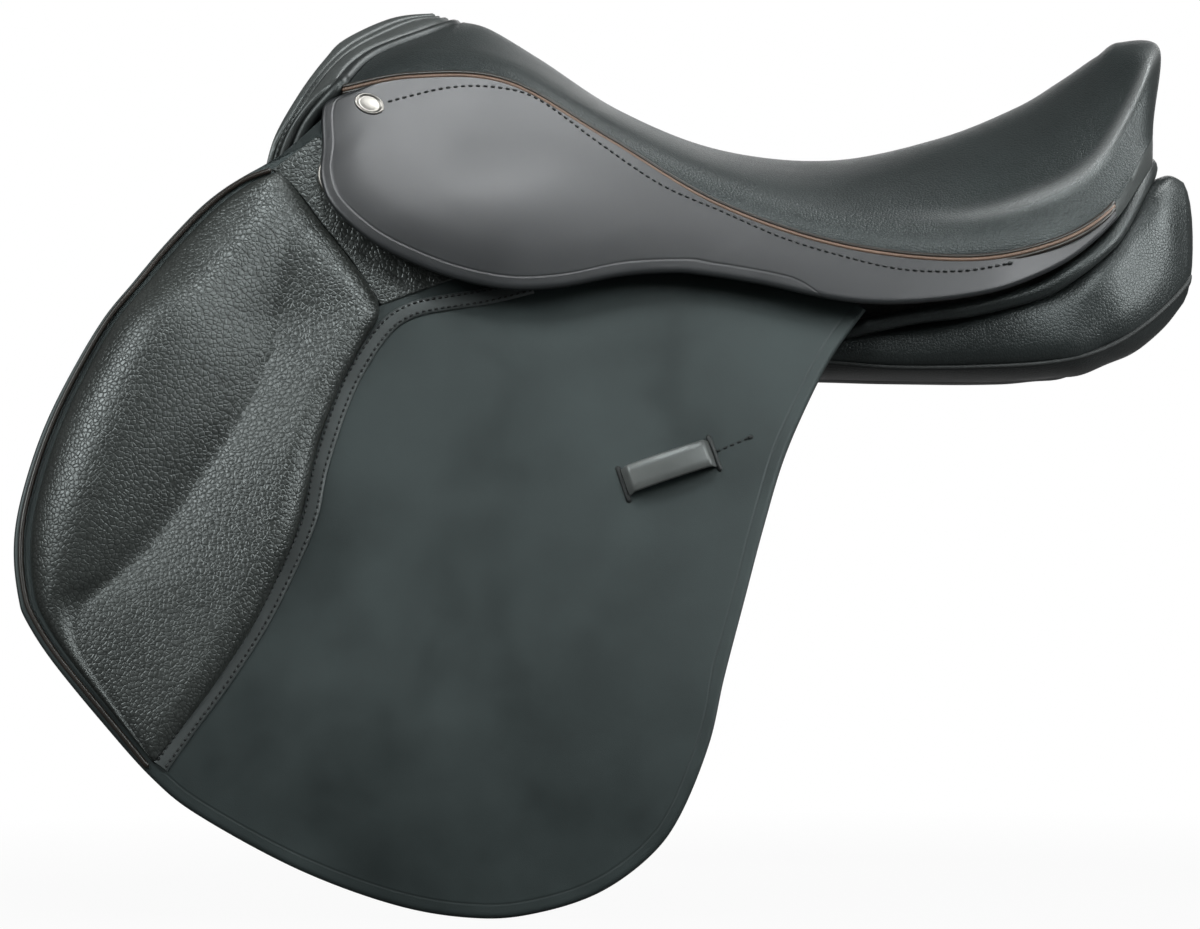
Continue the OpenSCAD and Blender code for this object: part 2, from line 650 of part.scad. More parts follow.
// Sweat flap, girth web, straps and the guard that slides on them, all behind the flap
module sweat_flap() color(black_leather) in_flap() translate([0, 0, -sweat_depth - sweat_t])
    linear_extrude(sweat_t) polygon([for (p = traced(sweat_shares, sweat_steps)) on_flap(p)]);
strap_place = [bar_place.x + arm_w + blade_h / 4 + web_gap + strap_pitch + strap_w / 2,
    strap_place_share * rise_h / cos(flap_tilt)];
web_w = 2 * strap_pitch + strap_w + 2 * guard_wall;
// Underside of the rail between its third and fourth station, where the web is nailed to it
function rail_low(x) = let (a = seat_edge(3), b = seat_edge(4), s = 3 + (x - a.x) / (b.x - a.x))
    seat_edge(s).z - rail_t - clear;
web_top = (rail_low(strap_place.x - strap_pitch - strap_w / 2 + web_w) - clear) / cos(flap_tilt);
module girth_web() color(canvas) in_flap()
    translate([strap_place.x - strap_pitch - strap_w / 2, strap_place.y - strap_w / 3, -clear - girth_web_t])
        difference() {
            cube([web_w, web_top - strap_place.y + strap_w / 3, girth_web_t]);
            for (k = [0:2])
                translate([strap_w / 2 + k * strap_pitch, strap_w / 3, -over])
                    cylinder(h = girth_web_t + 2 * over, r = pin_r + clear / 3);
        }
module strap_pins() color(bright_steel) in_flap() for (k = [-1:1])
    translate([strap_place.x + k * strap_pitch, strap_place.y, -strap_depth - strap_t])
        cylinder(h = strap_t + strap_depth - clear, r = pin_r);
module strap(k) color(black_leather) in_flap()
    translate([strap_place.x + k * strap_pitch, strap_place.y, -strap_depth - strap_t]) difference() {
        linear_extrude(strap_t) polygon([
            [-strap_w / 2, strap_w / 2], [strap_w / 2, strap_w / 2], [strap_w / 2, strap_point - strap_l],
            [strap_w / 4, -strap_l], [-strap_w / 4, -strap_l], [-strap_w / 2, strap_point - strap_l]
        ]);
        translate([0, 0, -over]) cylinder(h = strap_t + 2 * over, r = pin_r + clear / 3);
        for (h = [1:hole_count])
            translate([0, h * hole_pitch - strap_l, -over]) cylinder(h = strap_t + 2 * over, r = hole_r);
    }
module buckle_guard() {
    room = strap_t + 2 * clear;
    wide = 2 * strap_pitch + strap_w + 2 * clear + 2 * guard_wall;
    color(black_leather) in_flap()
        translate([strap_place.x, strap_place.y - guard_drop_share * strap_l, -strap_depth - strap_t / 2])
            rotate([90, 0, 0]) linear_extrude(guard_h) difference() {
                square([wide, room + 2 * guard_wall], center = true);
                for (k = [-1:1])
                    translate([k * strap_pitch, 0]) square([strap_w + 4 * clear, room], center = true);
            }
}

tree_head();
tree_frame();
head_plate();
seat_web();
seat_foam();
seat_cover();
welt();  // welt_left
right_side() welt();  // welt_right
pommel_roll();
pommel_facing();
cantle_facing();
cantle_roll();
panel();  // panel_left
right_side() panel();  // panel_right
sweat_flap();  // sweat_flap_left
right_side() sweat_flap();  // sweat_flap_right
flap_top();  // flap_top_left
right_side() flap_top();  // flap_top_right
knee_pad_top();  // knee_pad_top_left
right_side() knee_pad_top();  // knee_pad_top_right
skirt();  // skirt_left
right_side() skirt();  // skirt_right
badge();  // badge_left
right_side() badge();  // badge_right
stirrup_bar();  // stirrup_bar_left
right_side() stirrup_bar();  // stirrup_bar_right
catch_pin();  // catch_pin_left
right_side() catch_pin();  // catch_pin_right
girth_web();  // girth_web_left
right_side() girth_web();  // girth_web_right
strap_pins();  // strap_pins_left
right_side() strap_pins();  // strap_pins_right
flap();  // flap_left
right_side() flap();  // flap_right
knee_pad();  // knee_pad_left
right_side() knee_pad();  // knee_pad_right
pad_strip();  // pad_strip_left
right_side() pad_strip();  // pad_strip_right
keeper();  // keeper_left
right_side() keeper();  // keeper_right
skirt_lobe();  // skirt_lobe_left
right_side() skirt_lobe();  // skirt_lobe_right
bar_catch();  // bar_catch_left
right_side() bar_catch();  // bar_catch_right
dee();  // dee_left
right_side() dee();  // dee_right
dee_tab();  // dee_tab_left
right_side() dee_tab();  // dee_tab_right
strap(-1);  // strap_front_left
strap(0);  // strap_middle_left
strap(1);  // strap_rear_left
right_side() strap(-1);  // strap_front_right
right_side() strap(0);  // strap_middle_right
right_side() strap(1);  // strap_rear_right
buckle_guard();  // buckle_guard_left
right_side() buckle_guard();  // buckle_guard_right
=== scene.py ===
import math
import bpy
import bmesh
import numpy as np
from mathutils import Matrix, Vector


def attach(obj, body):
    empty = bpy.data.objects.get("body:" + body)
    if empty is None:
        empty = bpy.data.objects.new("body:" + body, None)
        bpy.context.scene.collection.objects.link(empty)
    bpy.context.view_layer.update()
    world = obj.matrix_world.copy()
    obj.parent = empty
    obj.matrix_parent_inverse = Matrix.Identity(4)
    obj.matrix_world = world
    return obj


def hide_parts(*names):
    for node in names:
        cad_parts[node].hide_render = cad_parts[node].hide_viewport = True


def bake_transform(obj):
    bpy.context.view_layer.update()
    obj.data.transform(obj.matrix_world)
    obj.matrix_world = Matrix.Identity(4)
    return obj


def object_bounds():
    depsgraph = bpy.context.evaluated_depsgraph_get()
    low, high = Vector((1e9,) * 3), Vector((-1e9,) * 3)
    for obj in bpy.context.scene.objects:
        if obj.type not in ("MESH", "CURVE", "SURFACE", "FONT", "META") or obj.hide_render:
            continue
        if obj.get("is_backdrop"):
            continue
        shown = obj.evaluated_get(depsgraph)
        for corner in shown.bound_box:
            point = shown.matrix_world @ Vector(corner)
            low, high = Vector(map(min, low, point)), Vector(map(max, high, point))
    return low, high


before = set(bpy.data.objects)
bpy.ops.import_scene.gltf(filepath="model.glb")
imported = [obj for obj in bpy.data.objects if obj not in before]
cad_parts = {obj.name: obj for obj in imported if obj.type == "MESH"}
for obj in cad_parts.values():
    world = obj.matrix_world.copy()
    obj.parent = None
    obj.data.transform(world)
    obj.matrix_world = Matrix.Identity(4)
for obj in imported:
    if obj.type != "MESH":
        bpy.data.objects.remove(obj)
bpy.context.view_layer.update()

# Seat. Soft fine-grain leather is blocked wet over foam on the webbed tree, so it swells between
# its sewn edges and draws in towards the piping. It is one piece from the pommel to the cantle.
# All shapes below are in millimetres in the shared frame and are scaled to metres when a mesh is made.
LENGTH, RISE = 625, 205
SKIRT_HALF, SKIRT_TILT = 166.73, math.radians(22.8)
seat_stations = np.array([
    [-.247, .976, -.320, .70, .868, -.346, .771, 1], [-.224, .956, -.275, .76, .883, -.288, .805, 1],
    [-.179, .873, -.205, .80, .844, -.208, .790, 1], [-.110, .737, -.120, .80, .698, -.122, .639, 1],
    [-.024, .634, -.029, .83, .556, -.029, .468, 1], [.074, .605, .074, .86, .459, .074, .359, 1],
    [.168, .663, .176, .88, .429, .179, .322, 1], [.237, .746, .243, .90, .473, .253, .361, 1],
    [.275, .815, .291, .89, .556, .304, .449, .96], [.298, .863, .326, .87, .707, .338, .600, .80],
    [.309, .888, .350, .86, .850, .351, .662, .53], [.314, .903, .364, .86, .905, .353, .680, 0],
    [.309, .888, .350, .86, .850, .351, .662, -.53]])


def spline(points, s):
    """Catmull-Rom curve through the rows of points, read at s counted in rows; the end rows repeat."""
    p, s = np.asarray(points, float), np.asarray(s, float)
    i = np.clip(np.floor(s).astype(int), 0, len(p) - 2)
    t = (s - i).reshape((-1,) + (1,) * (p.ndim - 1))
    a, b, c, d = (p[np.clip(i + k, 0, len(p) - 1)] for k in (-1, 0, 1, 2))
    return b + t / 2 * (c - a + t * (2 * a - 5 * b + 4 * c - d + t * (3 * (b - c) + d - a)))


def along(points, count):
    """That curve from its first to its last point, at count even steps of s."""
    return spline(points, np.linspace(0, len(points) - 1, count))


def smooth(a, b, v):
    """Rises from 0 at a to 1 at b with level ends."""
    t = np.clip((v - a) / (b - a), 0, 1)
    return t * t * (3 - 2 * t)


def seat_edge(s):
    """Sewn edge of the seat on the left at stations s; it lies in the plane of the skirt."""
    row = spline(seat_stations, s)
    z = row[:, 6] * RISE
    half_width = np.maximum(row[:, 7], 0) * (SKIRT_HALF - z * math.tan(SKIRT_TILT))
    return np.stack([row[:, 5] * LENGTH, -half_width, z], 1)


def seat_out(s):
    """Level direction from the centre line to that edge."""
    out = seat_edge(s) - spline(seat_stations, s)[:, [0, 0, 0]] * [LENGTH, 0, 0]
    out[:, 2] = 0
    return out / np.linalg.norm(out, axis=1, keepdims=True)


def seat_rows(s, q, depth=0):
    """Left half of the seat at stations s by columns q: 0 centre line, 1 half way, 2 rim, 3 edge.
    A curve through centre, middle, rim and edge, the middle sunk by three tenths of the fall."""
    row, edge, out = spline(seat_stations, s), seat_edge(s), seat_out(s)
    up = np.array([0, 0, 1.])
    high = np.stack([row[:, 0] * LENGTH, 0 * s, row[:, 1] * RISE], 1) - depth * up
    corner = out + up
    rim = np.stack([row[:, 2] * LENGTH, row[:, 3] * edge[:, 1], row[:, 4] * RISE], 1)
    rim = rim - depth * corner / np.linalg.norm(corner, axis=1, keepdims=True)
    middle = high + (rim - high) * [.3, .5, .3]
    knots = np.stack([middle * [1, -1, 1], high, middle, rim, edge - depth * out])
    return spline(knots, 1 + np.asarray(q)).transpose(1, 0, 2)


def make(name, points, faces, material, sharp=None, **values):
    """Mesh object of points in millimetres; values are stored as point attributes. Doubled points are
    welded and the faces are turned outwards."""
    name = name.replace(" ", "_")
    me = bpy.data.meshes.new(name)
    me.from_pydata((np.asarray(points).reshape(-1, 3) / 1000).tolist(), [], [list(f) for f in faces])
    for key, data in values.items():
        stored = me.attributes.new(key, "FLOAT", "POINT").data
        stored.foreach_set("value", np.asarray(data, np.float32).ravel())
    bm = bmesh.new()
    bm.from_mesh(me)
    bmesh.ops.remove_doubles(bm, verts=bm.verts, dist=2e-6)
    bmesh.ops.recalc_face_normals(bm, faces=bm.faces)
    bm.to_mesh(me)
    bm.free()
    me.shade_smooth()
    if sharp:
        me.set_sharp_from_angle(angle=math.radians(sharp))
    me.materials.append(material)
    obj = bpy.data.objects.new(name, me)
    bpy.context.scene.collection.objects.link(obj)
    return obj


def quads(rows, cols, around=False, first=0):
    """Index quads of a grid of rows by cols points; around joins the last column to the first."""
    k = first + np.arange(rows * cols).reshape(rows, cols)
    k = np.concatenate([k, k[:, :1]], 1) if around else k
    return np.stack([k[:-1, :-1], k[:-1, 1:], k[1:, 1:], k[1:, :-1]], -1).reshape(-1, 4).tolist()


def rings(name, grid, material, sharp=None, **values):
    """Solid skinned over closed rings (rows of grid), capped at both ends."""
    n, m = grid.shape[:2]
    caps = [list(range(m)), list(range((n - 1) * m, n * m))]
    return make(name, grid, quads(n, m, True) + caps, material, sharp, **values)


def add(tree, kind, inputs=None, **props):
    """Shader node with its properties and inputs set; an input that is a socket is linked."""
    n = tree.nodes.new(kind)
    for key, v in props.items():
        setattr(n, key, v)
    for key, v in (inputs or {}).items():
        if isinstance(v, bpy.types.NodeSocket):
            tree.links.new(v, n.inputs[key])
        else:
            n.inputs[key].default_value = v
    return n


def math_node(tree, operation, a, b=0.0, clamp=False):
    """One arithmetic node; returns its output."""
    return add(tree, "ShaderNodeMath", {0: a, 1: b}, operation=operation, use_clamp=clamp).outputs[0]


def grain_group():
    """Leather grain on object coordinates. Height is the dome of each pebble of the given size in
    millimetres, cut by the grooves between them and roughened by a finer noise; Tone is a slow light and
    dark wander over the hide."""
    g = bpy.data.node_groups.new("Leather grain", "ShaderNodeTree")
    g.interface.new_socket("Pebble", in_out="INPUT", socket_type="NodeSocketFloat")
    g.interface.new_socket("Height", in_out="OUTPUT", socket_type="NodeSocketFloat")
    g.interface.new_socket("Tone", in_out="OUTPUT", socket_type="NodeSocketFloat")
    inside, outside = add(g, "NodeGroupInput"), add(g, "NodeGroupOutput")
    where = add(g, "ShaderNodeTexCoord").outputs["Object"]
    per_m = math_node(g, "DIVIDE", 1000.0, inside.outputs["Pebble"])
    warp = add(g, "ShaderNodeTexNoise", {"Vector": where, "Scale": 260.0, "Detail": 2.0})
    bent = add(g, "ShaderNodeMixRGB", {"Fac": .0012, "Color1": where, "Color2": warp.outputs["Color"]},
               blend_type="ADD").outputs[0]
    cell = add(g, "ShaderNodeTexVoronoi", {"Vector": bent, "Scale": per_m})
    finer = math_node(g, "MULTIPLY", per_m, 2.2)
    fine = add(g, "ShaderNodeTexNoise", {"Vector": where, "Scale": finer, "Detail": 3.0})
    dome = math_node(g, "SUBTRACT", 1.0, math_node(g, "POWER", cell.outputs["Distance"], 1.6), True)
    rim = add(g, "ShaderNodeTexVoronoi", {"Vector": bent, "Scale": per_m}, feature="DISTANCE_TO_EDGE")
    groove = add(g, "ShaderNodeMapRange", {"Value": rim.outputs["Distance"], "From Max": .2, "To Max": .4},
                 interpolation_type="SMOOTHSTEP")
    pebbled = math_node(g, "ADD", groove.outputs[0], math_node(g, "MULTIPLY", dome, .6))
    pores = math_node(g, "MULTIPLY", fine.outputs["Fac"], .14)
    g.links.new(math_node(g, "ADD", pebbled, pores), outside.inputs["Height"])
    slow = add(g, "ShaderNodeTexNoise", {"Vector": where, "Scale": 14.0, "Detail": 4.0, "Roughness": .6})
    g.links.new(slow.outputs["Fac"], outside.inputs["Tone"])
    return g


def crease_group():
    """Line pressed into leather at a distance from the edge, read from the attribute edge (millimetres
    from the cut). Mask is 1 in the line and 0 a little beside it."""
    g = bpy.data.node_groups.new("Edge crease", "ShaderNodeTree")
    g.interface.new_socket("At", in_out="INPUT", socket_type="NodeSocketFloat")
    g.interface.new_socket("Mask", in_out="OUTPUT", socket_type="NodeSocketFloat")
    inside, outside = add(g, "NodeGroupInput"), add(g, "NodeGroupOutput")
    edge = add(g, "ShaderNodeAttribute", attribute_name="edge").outputs["Fac"]
    off = math_node(g, "ABSOLUTE", math_node(g, "SUBTRACT", edge, inside.outputs["At"]))
    fall = math_node(g, "SUBTRACT", 1.0, math_node(g, "DIVIDE", off, .9), True)
    g.links.new(fall, outside.inputs["Mask"])
    return g


GRAIN, CREASE = grain_group(), crease_group()


def leather(name, colour, rough, pebble, depth, crease=0, spread=.25, sheen=(.9, 1, 1), shine=.5, worn=False):
    """Dyed leather: colour wanders with the hide, pebbles and an optional edge crease go into the normal, and
    the creases between the pebbles get painted shade, darkened and duller the deeper they are; the edge
    crease is painted with shade in its groove as well. With the rim option set, the leather is paler and
    glossier where its point attribute says so: wear from rubbing and a painted highlight."""
    mat = bpy.data.materials.new(name)
    mat.use_nodes = True
    t = mat.node_tree
    bsdf = t.nodes["Principled BSDF"]
    grain = add(t, "ShaderNodeGroup", {}, node_tree=GRAIN)
    grain.inputs["Pebble"].default_value = pebble
    tone = add(t, "ShaderNodeMapRange", {"Value": grain.outputs["Tone"], "From Min": .3, "From Max": .7,
                                         "To Min": 1 - spread, "To Max": 1 + spread})
    height = grain.outputs["Height"]
    # Painted shade: colour and specular level fall in the grooves between the pebbles, more for deeper grain.
    painted_groove_shade = add(t, "ShaderNodeMapRange", {"Value": height, "From Min": .5, "From Max": 1.0,
                                                  "To Min": 1 - depth}).outputs[0]
    tone = math_node(t, "MULTIPLY", tone.outputs[0], painted_groove_shade)
    t.links.new(math_node(t, "MULTIPLY", painted_groove_shade, shine), bsdf.inputs["Specular IOR Level"])
    base = add(t, "ShaderNodeVectorMath", {0: colour, "Scale": tone}, operation="SCALE").outputs[0]
    bump = add(t, "ShaderNodeBump", {"Height": height, "Distance": depth / 1000, "Strength": 1.0})
    normal = bump.outputs[0]
    if crease:
        line = add(t, "ShaderNodeGroup", {}, node_tree=CREASE)
        line.inputs["At"].default_value = crease
        pressed = add(t, "ShaderNodeBump", {"Height": line.outputs[0], "Distance": .00013, "Strength": 1.0,
                                            "Normal": normal}, invert=True)
        normal = pressed.outputs[0]
        # Painted shade: the colour is mixed towards black along the crease line, as shade in its groove.
        painted_crease_shade = math_node(t, "MULTIPLY", line.outputs[0], .35)
        base = add(t, "ShaderNodeMixRGB", {"Fac": painted_crease_shade, "Color1": base,
                                           "Color2": (.004, .004, .004, 1)}).outputs[0]
    gloss = 1.0
    if worn:
        # Painted highlight and wear: along the masked rim the colour is mixed paler, standing for light on
        # the crest as well as rubbing; the lower roughness is from rubbing.
        rub_highlight_mask = add(t, "ShaderNodeAttribute", attribute_name="worn").outputs["Fac"]
        base = add(t, "ShaderNodeMixRGB", {"Fac": rub_highlight_mask, "Color1": base,
                                           "Color2": (.12, .128, .128, 1)}).outputs[0]
        gloss = math_node(t, "SUBTRACT", 1.0, math_node(t, "MULTIPLY", rub_highlight_mask, .45))
    t.links.new(base, bsdf.inputs["Base Color"])
    t.links.new(normal, bsdf.inputs["Normal"])
    swing = spread * .6
    dull = add(t, "ShaderNodeMapRange", {"Value": grain.outputs["Tone"], "From Min": .3, "From Max": .7,
                                         "To Min": rough * (1 - swing), "To Max": rough * (1 + swing)})
    t.links.new(math_node(t, "MULTIPLY", dull.outputs[0], gloss), bsdf.inputs["Roughness"])
    bsdf.inputs["Specular Tint"].default_value = (*sheen, 1)
    return mat


def padded_leather(obj, fill, *nodes):
    """Hides the CAD nodes that a stuffed piece stands for."""
    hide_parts(*nodes)


seat_leather = leather("seat leather", (.011, .015, .015), .40, 1.5, .17, spread=.15, worn=True)
s = np.linspace(0, 11, 133)
q = np.concatenate([np.linspace(0, 2, 34), np.linspace(2, 3, 20)[1:]])
half = seat_rows(s, q)
# Swell of the side below the rim, raised rim of the cantle, rounded end of the centre line.
band = np.sin(np.pi * np.clip(q - 2, 0, 1))
belly = 2.2 * smooth(0, .6, s) - 3.7 * smooth(6, 8, s) + 2 * smooth(9.2, 10.6, s)
crest = 3.2 * (smooth(5.8, 7.6, s) * smooth(10.8, 8.8, s))[:, None] * np.exp(-((q - 1.98) / .12) ** 2)
plump = 4.5 * smooth(8.4, 10.6, s)[:, None] * np.sin(np.pi * np.clip(q / 2, 0, 1)) ** 2
plump -= 1.2 * smooth(9, 11, s)[:, None] * np.cos(np.pi * np.clip(q / 4, 0, .5)) ** 2
half = half + plump[..., None] * [0, 0, 1]
away = seat_out(s)[:, None]
half = half + (belly[:, None] * band)[..., None] * away + crest[..., None] * (away + [0, 0, .4])
# Mask of the cantle rim: wear from rubbing there, and a painted highlight along the crest.
rim_worn = smooth(5.2, 7, s)[:, None] * np.exp(-((q - 1.96) / .12) ** 2)
turned = [half[:, -1] - k * seat_out(s) + [0, 0, -d] for k, d in ((.8, .9), (3, 1.5), (12, 1.7))]
half = np.concatenate([half, np.stack(turned, 1)], 1)
front = np.stack([half[0] + [-.9 * k, 0, -d] for k, d in ((2.2, 5), (2, 2.4), (1.2, .8))])
half = np.concatenate([front, half])
rim_worn = np.pad(rim_worn, ((3, 0), (0, 3)))
grid = np.concatenate([half[:, :0:-1], half * [1, -1, 1]], 1)
rim_worn = np.concatenate([rim_worn[:, :0:-1], rim_worn], 1)
seat = make("seat", grid, quads(*grid.shape[:2]), seat_leather, worn=rim_worn)
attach(seat, "saddle")
padded_leather(seat, .7, "seat_cover")

# Piping. A thin tan cord covered in leather is sewn between seat and skirt, with a dark lip of the seat
# leather above it and of the skirt leather below it.


def tube(name, path, radius, material, sides=10, up=(0, 0, 1)):
    """Round bar of one radius along a path, with both ends drawn to a small rounded tip."""
    path = np.asarray(path, float)
    t = np.gradient(path, axis=0)
    t /= np.linalg.norm(t, axis=1, keepdims=True)
    side = np.cross(t, np.asarray(up, float))
    side /= np.linalg.norm(side, axis=1, keepdims=True)
    rise = np.cross(side, t)
    tips = np.array([.25, .75, 1])
    where = np.concatenate([path[:1] - t[:1] * radius * (1 - tips[:, None]), path[1:-1],
                            path[-1:] + t[-1:] * radius * (1 - tips[::-1, None])])
    pick = np.concatenate([[0, 0, 0], np.arange(1, len(path) - 1), [-1, -1, -1]])
    size = np.concatenate([tips, np.ones(len(path) - 2), tips[::-1]]) * radius
    a = np.linspace(0, 2 * np.pi, sides, endpoint=False)
    ring = np.cos(a)[None, :, None] * side[pick][:, None] + np.sin(a)[None, :, None] * rise[pick][:, None]
    return rings(name, where[:, None] + ring * size[:, None, None], material)


def mirror(points):
    """The same points on the right side."""
    return np.asarray(points) * [1, -1, 1]


SIDES = (("left", np.array([1, 1, 1.])), ("right", np.array([1, -1, 1.])))
piping_tan = leather("piping leather", (.11, .068, .046), .45, .5, .02)
piping_dark = leather("piping lip", (.016, .011, .008), .34, .6, .02)
s = np.linspace(0, 8.12, 120)
edge, out = seat_edge(s), seat_out(s)
slope = np.array([0, math.sin(SKIRT_TILT), math.cos(SKIRT_TILT)])
piping_layers = (("cord", -.8, 1.7, 1.1, piping_tan), ("upper lip", 1.1, 1.5, 1.2, piping_dark),
                 ("lower lip", -2.8, 1.7, 1.2, piping_dark))
for side, flip in SIDES:
    for part, up_by, out_by, r, mat in piping_layers:
        obj = tube(f"piping {part} {side}", (edge + out * out_by + slope * up_by) * flip, r, mat, 8)
        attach(obj, "saddle")
        if part == "cord":
            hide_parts(f"welt_{side}")

# Pommel. Behind a facing of two thin stitched layers and one broad one, a round leather roll closes the
# front of the seat; both run down to the front corners of the flaps.
FLAP_HALF, FLAP_TILT = 138, math.radians(15)
front_line = np.array([[-.416, .530, .935], [-.408, .639, .950], [-.387, .761, .902], [-.366, .859, .732],
                       [-.350, .917, .530], [-.312, .980, .239], [-.277, 1, 0]])
legs = np.array([[-.388, .540, .890], [-.371, .673, .966]])


def between_flaps(rows):
    """x, z and share of the room between the flaps, as points on the left side."""
    z = rows[:, 1] * RISE
    half_width = np.maximum(rows[:, 2], 0) * (FLAP_HALF - z * math.tan(FLAP_TILT))
    return np.stack([rows[:, 0] * LENGTH, -half_width, z], 1)


def whole(left):
    """A left curve that ends on the centre plane, joined to its mirror image."""
    return np.concatenate([left, mirror(left[-2::-1])])


def pommel_arch(ahead, count):
    """Two points of the leg, then the seat's front edge up to the crown, moved forward."""
    edge = seat_rows(np.zeros(1), np.linspace(3, 0, 9), 2)[0]
    left = np.concatenate([between_flaps(legs), edge]) - [ahead, 0, 0]
    return whole(along(left, count))


def stitches(name, path, normal, material, pitch=4.0, length=2.9, r=.6):
    """Row of sewn stitches: small lozenge prisms laid along a path, each sunk at both ends."""
    path, normal = np.asarray(path, float), np.asarray(normal, float)
    step = np.concatenate([[0], np.cumsum(np.linalg.norm(np.diff(path, axis=0), axis=1))])
    at = np.arange(pitch / 2, step[-1], pitch)
    mid = np.stack([np.interp(at, step, path[:, k]) for k in range(3)], 1)
    t = np.stack([np.interp(at, step, np.gradient(path, axis=0)[:, k]) for k in range(3)], 1)
    t /= np.linalg.norm(t, axis=1, keepdims=True)
    n = np.broadcast_to(normal, path.shape) if normal.ndim == 1 else normal
    n = np.stack([np.interp(at, step, n[:, k]) for k in range(3)], 1)
    n /= np.linalg.norm(n, axis=1, keepdims=True)
    w = np.cross(n, t)
    shape = np.array([[-.5, 0, -.5], [-.28, -1, .35], [-.28, 0, .95], [-.28, 1, .35], [.28, -1, .35],
                      [.28, 0, .95], [.28, 1, .35], [.5, 0, -.5]])
    pts = (mid[:, None] + t[:, None] * shape[None, :, :1] * length + w[:, None] * shape[None, :, 1:2] * r
           + n[:, None] * shape[None, :, 2:] * r)
    tri = np.array([[0, 2, 1], [0, 3, 2], [0, 1, 3], [1, 2, 5], [1, 5, 4], [2, 3, 6], [2, 6, 5],
                    [3, 1, 4], [3, 4, 6], [7, 4, 5], [7, 5, 6], [7, 6, 4]])
    faces = (tri[None] + 8 * np.arange(len(mid))[:, None, None]).reshape(-1, 3).tolist()
    return make(name, pts, faces, material)


roll_leather = leather("roll leather", (.010, .012, .012), .38, .8, .04)
# Painted light: the colour of the pommel and cantle facings is raised to stand in for light they do not
# catch.
facing_leather_painted_light = leather("facing leather painted light", (.040, .045, .044), .36, .8, .04)
roll = tube("pommel roll", pommel_arch(5.4, 61), 3.7, roll_leather, 12, up=(1, 0, 0))
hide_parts("pommel_roll")
back = pommel_arch(9.2, 61)
face = whole(along(between_flaps(front_line), 61))
t = np.gradient(face, axis=0)
n = np.cross(t, back - face)
n /= np.linalg.norm(n, axis=1, keepdims=True)
n *= np.where(n[:, 2:] < 0, -1, 1)
profile = np.array([[.02, -1.5], [0, -.5], [.02, .3], [.05, .7], [.2, .9], [.25, .3], [.26, -.3],
                    [.28, .6], [.32, 1.3], [.38, 1.6], [.44, 1.5], [.47, .9], [.48, .1], [.5, 1.2],
                    [.55, 2.2], [.64, 3.0], [.75, 3.3], [.86, 3.0], [.95, 2.0], [1, .8], [1, -1.5]])
grid = face[:, None] + (back - face)[:, None] * profile[None, :, :1] + n[:, None] * profile[None, :, 1:]
facing = rings("pommel facing", grid, facing_leather_painted_light, 50)
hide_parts("pommel_facing")
for obj in (roll, facing):
    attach(obj, "saddle")
thread = leather("waxed thread", (.006, .006, .006), .6, .3, .02)
seam = face + (back - face) * .38 + n * 1.6
for side, part in (("left", slice(1, 22)), ("right", slice(99, 120))):
    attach(stitches(f"pommel stitches {side}", seam[part], n[part], thread, 3.6, 2.6, .4), "saddle")

# Skirts. One thick smooth leather on each side hangs from the piping over the stirrup bar; its edge is
# painted and a crease runs inside it.
skirt_edge_line = np.array([
    [-217, 153], [-226, 150.5], [-228.6, 143], [-228, 126], [-228.5, 109], [-222, 93], [-203, 75.5],
    [-181, 63.5], [-155, 54], [-128, 49], [-101, 50], [-69, 56], [-43, 58], [-27, 57], [5, 52], [42, 44],
    [68, 41.5], [90, 42.3], [116, 45.5], [135, 50], [155, 58.5], [170.5, 67.6], [185, 79.5], [195, 90]])


def on_plane(x, z, n, half, tilt):
    """Points at x, height z and distance n outside a leaning plane on the left side."""
    u = z / math.cos(tilt)
    y = -half + u * math.sin(tilt) - n * math.cos(tilt)
    return np.stack([x, y, u * math.cos(tilt) + n * math.sin(tilt)], -1)


def on_skirt(x, z, n):
    """Points outside the inner face of the left skirt."""
    return on_plane(x, z, n, SKIRT_HALF, SKIRT_TILT)


def sheet(edge, top, thick, rows):
    """Plan of a leather sheet ruled from its cut edge to a hidden top line, close steps first. Returns x, z,
    the height of the front and back faces and the distance from the edge; both faces round off towards
    the cut."""
    t = np.gradient(edge, axis=0)
    t /= np.linalg.norm(t, axis=1, keepdims=True)
    inward = np.stack([-t[:, 1], t[:, 0]], 1)
    ruled = top - edge
    reach = np.linalg.norm(ruled, axis=1, keepdims=True)
    ruled = ruled / reach
    slant = np.clip((ruled * inward).sum(1, keepdims=True), .35, 1)
    inset = np.array([[0, .35, .9, 1.8, 3, 4.4, 5.6, 6.4, 7.2, 8.4, 10.5, 13]])
    near = inset / slant * np.minimum(1, .8 * reach * slant / 13)
    far = near[:, -1:] + (reach - near[:, -1:]) * np.linspace(0, 1, rows + 1)[None, 1:]
    step = np.concatenate([near, far], 1)
    plan = edge[:, None] + ruled[:, None] * step[..., None]
    d = step * slant
    curve = np.sqrt(1 - (1 - np.clip(d / 1.8, 0, 1)) ** 2)
    return plan[..., 0], plan[..., 1], thick * (.5 + .5 * curve), thick * (.5 - .5 * curve), d


def both_faces(front, rear):
    """Closed rings from the two faces of a sheet."""
    return np.concatenate([front, rear[:, :0:-1]], 1)


skirt_leather = leather("skirt leather", (.012, .014, .015), .34, .5, .015, crease=6.2, spread=.15,
                        sheen=(.96, .98, 1))
SKIRT_THICK = 3.5
edge = along(skirt_edge_line, 190)
top = seat_edge(np.linspace(0, 8.14, 190))[:, [0, 2]] - [0, 3]
x, z, outer, inner, d = sheet(edge, top, SKIRT_THICK, 26)


def skirt_swell(x, z, d):
    """The skirt stands proud over the stirrup bar, curls in a little towards its cut edge and draws in with
    the seat at the tail."""
    proud = 4.6 * np.exp(-((x + 135) / 80) ** 2 - ((z - 96) / 36) ** 2)
    return proud - 1.6 * (1 - np.clip(d / 26, 0, 1)) ** 2 - 6 * smooth(125, 205, x)


